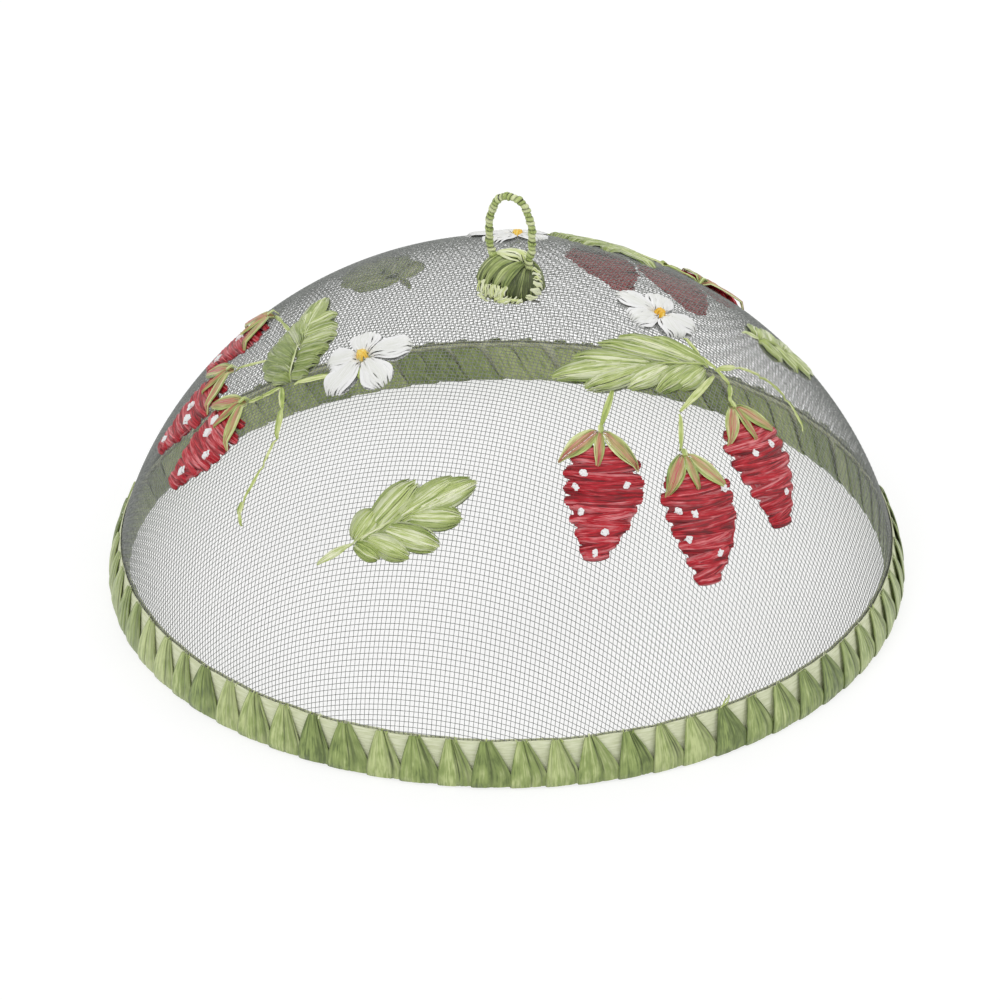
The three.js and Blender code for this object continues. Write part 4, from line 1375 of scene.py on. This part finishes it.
@dataclass(frozen=True)
class Leaf:
    """A leaf in satin stitch: lobes that spread from its midrib, laid from tip to base."""

    base: Place
    tip: Place
    lobes: tuple[Lobe, ...]
    stalk: Place | None = None
    last: float = 0.42
    lobe_step: float = 0.00006

    LOBE: ClassVar[Satin] = Satin(
        11, 0.014, 0.45, 0.34, 0.6, 0.0008, 0.0005, rings=9, overlap=1.15, edge_shade_and_tone=0.7,
        rounded=0.06, back=0.0008,
    )
    RIB: ClassVar[Satin] = Satin(2, 0.0012, 0.9, 0.5, 0.4, 0.0003, 0.0014, ragged=0.02, rings=10)
    STALK: ClassVar[Satin] = Satin(4, 0.0042, 0.2, 0.2, 0.5, 0.0005, 0.0005, ragged=0.03)

    def build(self, work: Work) -> None:
        """The leaf as one piece.

        Args:
            work: what it is sewn on and with.
        """
        chart = Chart.between(work.dome, self.base, self.tip)
        stitcher = Stitcher(work.seed)
        end = chart.flat(self.tip)
        stitcher.bundle(chart, end * self.last, end, self.LOBE)
        for number, lobe in enumerate(self.lobes):
            one = replace(
                self.LOBE, width=lobe.width, lie=self.LOBE.lie + self.lobe_step * number,
                bow=stitcher.rng.uniform(-0.03, 0.03), middle_tone_and_shade=lobe.shade,
            )
            stitcher.bundle(chart, end * lobe.start, chart.flat(lobe.tip), one)
        stitcher.bundle(chart, end * 0.0, end * 0.4, self.RIB)
        if self.stalk:
            stitcher.bundle(chart, chart.flat(self.stalk), end * 0.01, self.STALK)
        made = stitcher.skin.build(f"leaf_stitches_{work.name}", work.finishes.leaf)
        keep(made, Slot.GREEN, f"leaf_{work.name}")


@dataclass(frozen=True)
class Berry:
    """A strawberry: crosswise bands of red over a dark base, white seeds, and a calyx.

    A sepal is its angle from the berry's line, its length and its width. A seed is its share of
    the way from the calyx, and of half the width. The outline gives half widths, as shares, by
    the way along. seed is how large the seeds are, and bulge how far the middle lies sideways.
    body_ends is where the base starts and ends, and the bands lie from start over the share run.
    """

    calyx: Place
    tip: Place
    width: float = 0.0345
    sepals: tuple = ((-45, 0.0250, 0.0085), (3, 0.0200, 0.0050), (45, 0.0250, 0.0085))
    seeds: tuple = ((0.36, -0.45), (0.42, 0.6), (0.5, -0.1), (0.62, -0.5), (0.78, 0.2), (0.6, 0.4))
    bands: int = 14
    seed: float = 1.0
    bulge: float = -0.0022
    body_ends: tuple = (0.1, 0.98)
    body_width: float = 0.86
    start: float = 0.13
    run: float = 0.85
    band_width: float = 1.5
    outline: tuple = (
        (0.08, 0.3), (0.15, 0.66), (0.25, 0.94), (0.38, 1.0), (0.52, 0.94), (0.68, 0.76),
        (0.82, 0.52), (0.93, 0.38), (1.0, 0.26),
    )

    BASE: ClassVar[Satin] = Satin(
        9, 0.03, 0.5, 0.25, 0.38, 0.0005, 0.0003, ragged=0.03, rings=10, overlap=1.6,
        edge_shade_and_tone=0.5, middle_tone_and_shade=0.5,
    )
    BAND: ClassVar[Satin] = Satin(
        5, 0.003, 0.8, 0.8, 0.5, 0.0008, 0.0009, bow=0.05, ragged=0.012, rings=10,
        thickness=0.0004, edge_shade_and_tone=0.6, rounded=0.035, point=0.85, back=0.0008,
    )
    SEED: ClassVar[Satin] = Satin(
        4, 0.0036, 0.75, 0.65, 0.5, 0.0006, 0.0017, bow=0.1, ragged=0.12, wobble=0.0003, rings=7
    )
    SEPAL: ClassVar[Satin] = Satin(
        7, 0.0085, 0.2, 0.08, 0.45, 0.0007, 0.0022, ragged=0.04, rings=9, sink=0.0002,
        overlap=1.2, edge_shade_and_tone=-0.6,
    )
    KNOT: ClassVar[Satin] = Satin(3, 0.0028, 0.6, 0.6, 0.5, 0.0006, 0.0024, rings=6)

    def axis(self, along: float) -> float:
        """How far the berry's middle lies beside its line: most a little over its middle."""
        return self.bulge * math.sin(math.pi * min(along, 1) ** 0.9)

    def body(self, chart: Chart, stitcher: Stitcher) -> None:
        """The dark base lengthwise, then the bands, each from one side to the other.

        Args:
            chart: the flat axes that the berry lies on.
            stitcher: what lays its strands.
        """
        y, rng = chart.length, stitcher.rng
        base = replace(self.BASE, width=self.width * self.body_width, bow=-self.bulge / y)
        stitcher.bundle(chart, *((0, y * end) for end in self.body_ends), base)
        shares, halves = np.array(self.outline).T
        pitch = y * 0.86 / self.bands
        form = replace(self.BAND, width=pitch * self.band_width)
        for band in range(self.bands):
            along = self.start + self.run * (band + 0.5) / self.bands
            half = np.interp(along, shares, halves) * self.width / 2
            left, right = half * rng.uniform(0.97, 1.1, 2)
            lean = pitch * (0.55 + 0.3 * (-1) ** band + rng.uniform(-0.15, 0.15))
            middle, beside = y * along + rng.uniform(-0.1, 0.1) * pitch, self.axis(along)
            ends = (beside - left, middle - lean), (beside + right, middle + lean)
            stitcher.bundle(chart, *ends, form)

    def build(self, work: Work) -> None:
        """The berry, its seeds and its calyx as three pieces.

        Args:
            work: what it is sewn on and with.
        """
        chart = Chart.between(work.dome, self.calyx, self.tip)
        looks, name = work.finishes, work.name
        fruit, white, cap = (Stitcher(work.seed + number) for number in range(3))
        self.body(chart, fruit)
        width, rise = self.SEED.width * self.seed, self.SEED.rise * self.seed
        form = replace(self.SEED, width=width, rise=rise)
        for along, across in self.seeds:
            at = np.array([across * self.width / 2, along * chart.length])
            turn = white.rng.uniform(-0.9, 0.9)
            reach = white.rng.uniform(0.0015, 0.0025) * self.seed
            reach = reach * np.array([math.cos(turn), math.sin(turn)])
            white.bundle(chart, at - reach, at + reach, form)
        for angle, length, width in self.sepals:
            turn = math.radians(angle)
            end = np.array([length * math.sin(turn), length * math.cos(turn)])
            form = replace(self.SEPAL, width=width, middle_tone_and_shade=1.0 if angle > 0 else 0.75)
            cap.bundle(chart, end * 0.02, end, form)
        cap.bundle(chart, (0, -0.0022), (0, 0.0035), self.KNOT)
        keep(fruit.skin.build(f"berry_bands_{name}", looks.berry), Slot.RED, f"berry_{name}")
        keep(white.skin.build(f"berry_seeds_{name}", looks.petal), Slot.WHITE)
        keep(cap.skin.build(f"sepals_{name}", looks.sepal), Slot.GREEN, f"calyx_{name}")


@dataclass(frozen=True)
class Flower:
    """A blossom: crumpled white petals to given places, round a yellow eye."""

    middle: Place
    petals: tuple[Place, ...]
    petal_step: float = 0.00012
    eye_reach: float = 0.0030

    PETAL: ClassVar[Satin] = Satin(
        9, 0.0145, 0.25, 0.5, 0.66, 0.0010, 0.0006, wobble=0.0005, rings=11, overlap=1.5,
        middle_tone_and_shade=0.5, rounded=0.1, back=0.0008,
    )
    EYE: ClassVar[Satin] = Satin(3, 0.0032, 0.6, 0.6, 0.5, 0.0009, 0.0019, rings=6)

    def build(self, work: Work) -> None:
        """The petals and the eye.

        Args:
            work: what it is sewn on and with.
        """
        azimuth, share = self.middle
        chart = Chart.between(work.dome, (azimuth, share * 1.1), (azimuth, share * 0.9))
        centre, looks, name = chart.flat(self.middle), work.finishes, work.name
        white, gold = Stitcher(work.seed), Stitcher(work.seed + 1)
        for number, place in enumerate(self.petals):
            end = chart.flat(place) - centre
            form = replace(self.PETAL, lie=self.PETAL.lie + self.petal_step * number)
            white.bundle(chart, centre + end * 0.09, centre + end, form)
        for turn in np.radians([10, 75, 140]):
            reach = self.eye_reach * np.array([math.sin(turn), math.cos(turn)])
            gold.bundle(chart, centre - reach, centre + reach, self.EYE)
        keep(white.skin.build(f"petal_stitches_{name}", looks.petal), Slot.WHITE, f"petals_{name}")
        keep(gold.skin.build(f"eye_stitches_{name}", looks.eye), Slot.YELLOW, f"flower_eye_{name}")


@dataclass(frozen=True)
class Sprig:
    """A sprig: its leaf, flower, berries, and stems as rows of spindle stitches.

    A stem is the places that it runs through, and its width. Each stitch runs on past its span
    by the overrun at both ends, so that the stitches meet.
    """

    leaf: Leaf
    flower: Flower
    berries: tuple[Berry, ...]
    stems: tuple[tuple[tuple[Place, ...], float], ...]
    overrun: float = 0.0006

    STEM: ClassVar[Satin] = Satin(3, 0.003, 0.4, 0.4, 0.5, 0.0004, 0.0006, ragged=0.02)

    def stem_piece(self, work: Work) -> None:
        """The stems: a bundle for each span between two places of a line.

        Args:
            work: what they are sewn on and with.
        """
        stitcher = Stitcher(work.seed)
        for line, width in self.stems:
            trails = [Trail.along(work.dome, line[: at + 1]) for at in range(1, len(line))]
            trail, corners = trails[-1], [trail.length for trail in trails]
            stops = [0.0, *[min(length, trail.length) for length in corners]]
            form = replace(self.STEM, width=width)
            for low, high in zip(stops[:-1], stops[1:]):
                stitcher.bundle(trail, (0, low - self.overrun), (0, high + self.overrun), form)
        made = stitcher.skin.build(f"stem_stitches_{work.name}", work.finishes.stem)
        keep(made, Slot.GREEN, f"stems_{work.name}")

    def build(self, work: Work) -> None:
        """Every piece of the sprig.

        Args:
            work: what it is sewn on and with.
        """
        seed = work.seed
        self.leaf.build(work)
        self.flower.build(replace(work, seed=seed + 10))
        for number, berry in enumerate(self.berries, 1):
            berry.build(replace(work, name=f"{work.name}_{number}", seed=seed + 20 * number))
        self.stem_piece(replace(work, seed=seed + 90))

    def turned(self, turn: float) -> "Sprig":
        """The same sprig at another azimuth.

        Args:
            turn: how many degrees further round it lies.

        Returns:
            The new sprig.
        """

        def move(place: Place) -> Place:
            """A place further round the dome."""
            return (place[0] + turn, place[1])

        lobes = tuple(replace(lobe, tip=move(lobe.tip)) for lobe in self.leaf.lobes)
        leaf = replace(self.leaf, base=move(self.leaf.base), tip=move(self.leaf.tip), lobes=lobes)
        flower = Flower(move(self.flower.middle), tuple(map(move, self.flower.petals)))
        berries = tuple(replace(b, calyx=move(b.calyx), tip=move(b.tip)) for b in self.berries)
        stems = tuple((tuple(map(move, line)), width) for line, width in self.stems)
        return Sprig(leaf, flower, berries, stems)


def left_sprig() -> Sprig:
    """The sprig on the cover's left."""
    leaf = Leaf(
        (-69.9, 0.571), (-107.3, 0.478),
        (
            Lobe(0.58, (-91.8, 0.421), 0.011, 0.1), Lobe(0.58, (-98.8, 0.494), 0.011),
            Lobe(0.46, (-82.8, 0.420), 0.012, 0.2), Lobe(0.46, (-96.8, 0.522), 0.012, 0.3),
            Lobe(0.36, (-77.8, 0.428), 0.012, 0.3), Lobe(0.34, (-93.5, 0.549), 0.013, 0.5),
            Lobe(0.26, (-73.2, 0.458), 0.012, 0.4), Lobe(0.22, (-89.8, 0.581), 0.014, 0.7),
            Lobe(0.15, (-69.8, 0.491), 0.011, 0.5), Lobe(0.12, (-85.0, 0.604), 0.013, 0.8),
            Lobe(0.05, (-67.8, 0.526), 0.010, 0.5), Lobe(0.05, (-80.5, 0.605), 0.012, 0.8),
            Lobe(0.0, (-75.0, 0.598), 0.009, 0.6),
        ),
    )
    petals = ((-69.6, 0.366), (-46.4, 0.311), (-41.5, 0.450), (-55.0, 0.535), (-65.7, 0.486))
    berries = (
        Berry(
            (-108.7, 0.618), (-102.1, 0.775), 0.0310,
            seeds=((0.45, 0.0), (0.78, -0.2)), seed=1.4,
        ),
        Berry(
            (-91.1, 0.682), (-89.8, 0.877), 0.0330,
            seeds=((0.48, 0.0), (0.53, -0.5), (0.86, -0.1)), seed=1.5,
        ),
        Berry(
            (-75.0, 0.666), (-76.0, 0.863), 0.0325,
            seeds=((0.31, 0.3), (0.42, 0.1), (0.51, -0.65), (0.8, -0.2)), seed=1.4,
        ),
    )
    node = (-70.0, 0.59)
    stems = (
        (((-68.0, 0.566), (-59.4, 0.487)), 0.0034),
        (((-54.6, 0.437), (-51.6, 0.462)), 0.0020),
        ((node, (-72.0, 0.635)), 0.0030),
        (((-71.9, 0.633), (-74.0, 0.664)), 0.0026),
        (((-82.5, 0.582), (-90.6, 0.680)), 0.0019),
        (((-91.5, 0.538), (-100.0, 0.570), (-108.0, 0.614)), 0.0019),
        ((node, (-63.8, 0.616), (-57.8, 0.666)), 0.0034),
        (((-57.8, 0.668), (-55.9, 0.720), (-54.8, 0.790)), 0.0020),
        (((-54.9, 0.788), (-54.0, 0.809)), 0.0036),
        (((-54.1, 0.806), (-52.3, 0.820)), 0.0020),
    )
    return Sprig(leaf, Flower((-59.0, 0.413), petals), berries, stems)


def right_sprig() -> Sprig:
    """The sprig on the cover's right."""
    leaf = Leaf(
        (71.8, 0.532), (16.8, 0.365),
        (
            Lobe(0.40, (26.3, 0.417)), Lobe(0.36, (29.3, 0.322)), Lobe(0.26, (40.1, 0.449)),
            Lobe(0.16, (45.8, 0.306), 0.0115), Lobe(0.12, (48.1, 0.491)),
            Lobe(0.05, (56.9, 0.322), 0.0115), Lobe(0.04, (54.3, 0.508)),
            Lobe(0.0, (68.5, 0.381), 0.010),
        ),
    )
    petals = ((95.4, 0.274), (101.3, 0.390), (73.0, 0.322), (85.1, 0.476), (76.1, 0.441))
    berries = (
        Berry(
            (25.1, 0.527), (15.5, 0.781), 0.0342,
            seeds=(
                (0.36, 0.42), (0.41, -0.70), (0.47, 0.60), (0.78, -0.21), (0.65, 0.42),
                (0.94, 0.02),
            ),
            bulge=-0.0028,
        ),
        Berry(
            (42.1, 0.632), (34.8, 0.856), 0.0359,
            ((-44, 0.0255, 0.0080), (-8, 0.0195, 0.0050), (34, 0.0245, 0.0085)),
            ((0.29, -0.86), (0.47, 0.13), (0.77, -0.38), (0.44, 0.55), (0.65, 0.40)),
            bulge=-0.0030,
        ),
        Berry(
            (63.8, 0.610), (54.3, 0.833), 0.0359,
            ((-46, 0.0240, 0.0085), (-8, 0.0205, 0.0050), (36, 0.0235, 0.0080)),
            ((0.36, -0.61), (0.41, 0.06), (0.74, -0.43)),
            bulge=-0.0028,
        ),
    )
    stems = (
        (((71.8, 0.545), (73.0, 0.500), (77.8, 0.450)), 0.0024),
        (((70.0, 0.585), (66.0, 0.600), (64.2, 0.612)), 0.0026),
        (((71.8, 0.545), (70.0, 0.585)), 0.0026),
        (((69.5, 0.548), (49.6, 0.556)), 0.0034),
        (((49.0, 0.560), (42.2, 0.628)), 0.0026),
        (((36.1, 0.440), (25.6, 0.524)), 0.0028),
        (((71.8, 0.545), (78.4, 0.580)), 0.0034),
        (((78.4, 0.580), (81.7, 0.639), (81.2, 0.703), (76.8, 0.758)), 0.0018),
    )
    return Sprig(leaf, Flower((85.6, 0.381), petals), berries, stems)


def single_leaves() -> dict[str, Leaf]:
    """The three leaves that lie apart, by the name of their nodes."""
    front = Leaf(
        (-29.1, 0.776), (-6.5, 0.620),
        (
            Lobe(0.42, (-8.6, 0.695)), Lobe(0.34, (-11.0, 0.617), 0.014),
            Lobe(0.24, (-12.2, 0.751)), Lobe(0.12, (-19.8, 0.633), 0.016),
            Lobe(0.1, (-17.5, 0.775)), Lobe(0.02, (-26.2, 0.706), 0.015),
            Lobe(0.02, (-22.9, 0.786), 0.010),
        ),
        (-34.2, 0.822),
    )
    side = Leaf(
        (99.6, 0.645), (106.6, 0.814),
        (
            Lobe(0.4, (101.3, 0.79)), Lobe(0.4, (109.0, 0.755)),
            Lobe(0.2, (97.5, 0.745)), Lobe(0.2, (108.6, 0.700)),
            Lobe(0.0, (96.2, 0.700)), Lobe(0.0, (105.8, 0.655)),
        ),
        (98.6, 0.600),
    )
    rear = Leaf(
        (-160.5, 0.830), (-146.0, 0.680),
        (
            Lobe(0.4, (-144.6, 0.742)), Lobe(0.4, (-151.8, 0.672)),
            Lobe(0.2, (-146.5, 0.790)), Lobe(0.2, (-157.4, 0.706)),
            Lobe(0.0, (-150.5, 0.826)), Lobe(0.0, (-162.2, 0.762)),
        ),
        (-163.0, 0.870),
    )
    return {"front": front, "side": side, "rear": rear}


# The room


@dataclass(frozen=True)
class Room:
    """The floor, the lamps and the camera. A lamp is its place and its power."""

    lens: float = 199.886
    sensor: float = 36.0
    distance: float = 2.4733
    elevation: float = 30.912
    roll: float = -0.078
    target: tuple[float, float, float] = (-0.002958, 0.0, 0.036352)
    lamps: tuple = (((-1.2, -1.6, 2.2), 19.0), ((1.8, -0.6, 1.8), 8.5), ((0.2, 1.8, 1.6), 8.5))
    lamp_size: float = 1.2
    lamp_aim: tuple[float, float, float] = (0.0, 0.0, 0.05)
    world: float = 0.58
    floor_half: float = 6.0
    floor_level: float = -0.00002
    floor_grey: float = 0.86
    floor_seen: float = 0.28
    floor_glow: float = 0.78

    def camera(self) -> None:
        """The camera at the photograph's angle."""
        data = bpy.data.cameras.new("camera")
        data.lens, data.sensor_width = self.lens, self.sensor
        data.clip_start, data.clip_end = 0.1, 50
        made = linked("camera", data)
        tilt = math.radians(self.elevation)
        back = Vector((0, -math.cos(tilt), math.sin(tilt)))
        turned = Matrix.Rotation(math.pi / 2 - tilt, 4, "X")
        turned = turned @ Matrix.Rotation(math.radians(self.roll), 4, "Z")
        made.matrix_world = Matrix.Translation(Vector(self.target) + back * self.distance) @ turned
        bpy.context.scene.camera = made

    def floor(self) -> None:
        """A wide pale floor that shows white where nothing shades it, and keeps the shadow."""
        material, tree, cover = new_material("floor")
        seen = rays(tree, "Is Camera Ray", "Is Glossy Ray", "Is Transmission Ray")
        plain, dimmed = ((grey, grey, grey, 1) for grey in (self.floor_grey, self.floor_seen))
        looks = {
            "Base Color": blend(tree, seen, plain, dimmed),
            "Roughness": 0.9,
            "Specular IOR Level": 0.1,
            "Emission Color": (1, 1, 1, 1),
            "Emission Strength": maths(tree, "MULTIPLY", seen, self.floor_glow),
        }
        feed(tree, cover, looks)
        corners = [(-1, -1, 0), (1, -1, 0), (1, 1, 0), (-1, 1, 0)]
        points = np.array(corners) * self.floor_half + (0, 0, self.floor_level)
        made = solid("floor", points, [np.arange(4)[None]], material)

    def light(self) -> None:
        """Soft lamps over the cover, and a pale world that is white to the camera."""
        world = bpy.data.worlds.new("world")
        bpy.context.scene.world = world
        world.use_nodes = True
        tree = world.node_tree
        seen = rays(tree, "Is Camera Ray", "Is Transmission Ray")
        strength = maths(tree, "MULTIPLY_ADD", seen, 1 - self.world, self.world)
        feed(tree, tree.nodes["Background"], {"Color": (1, 1, 1, 1), "Strength": strength})
        for number, (place, power) in enumerate(self.lamps):
            data = bpy.data.lights.new(f"lamp_{number}", "AREA")
            data.size, data.energy = self.lamp_size, power
            aim = Vector(self.lamp_aim) - Vector(place)
            turned = aim.to_track_quat("-Z", "Y").to_matrix().to_4x4()
            linked(data.name, data).matrix_world = Matrix.Translation(place) @ turned

    def build(self) -> None:
        """The camera, the lamps and the floor."""
        self.camera()
        self.light()
        self.floor()
        bpy.context.scene.view_settings.view_transform = "Standard"


def main() -> None:
    """Builds the room and every part of the cover."""
    logging.basicConfig(level=logging.INFO, format="%(message)s")
    Room().build()
    dome, finishes = Dome(), Finishes()
    for name in ("rim_wire", "handle_wire"):
        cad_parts[name].data.materials.clear()
        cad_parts[name].data.materials.append(finishes.steel)
    WireCloth(dome, finishes).build()
    Rim(dome, finishes).build()
    Handle(dome, finishes).build()
    left = left_sprig()
    motifs = {"left": left, "right": right_sprig(), "back": left.turned(235)}
    for number, (name, motif) in enumerate(motifs.items(), 1):
        motif.build(Work(dome, finishes, name, 1000 * number))
    for number, (name, leaf) in enumerate(single_leaves().items()):
        leaf.build(Work(dome, finishes, f"single_{name}", 4000 + 10 * number))


if __name__ == "__main__":
    main()
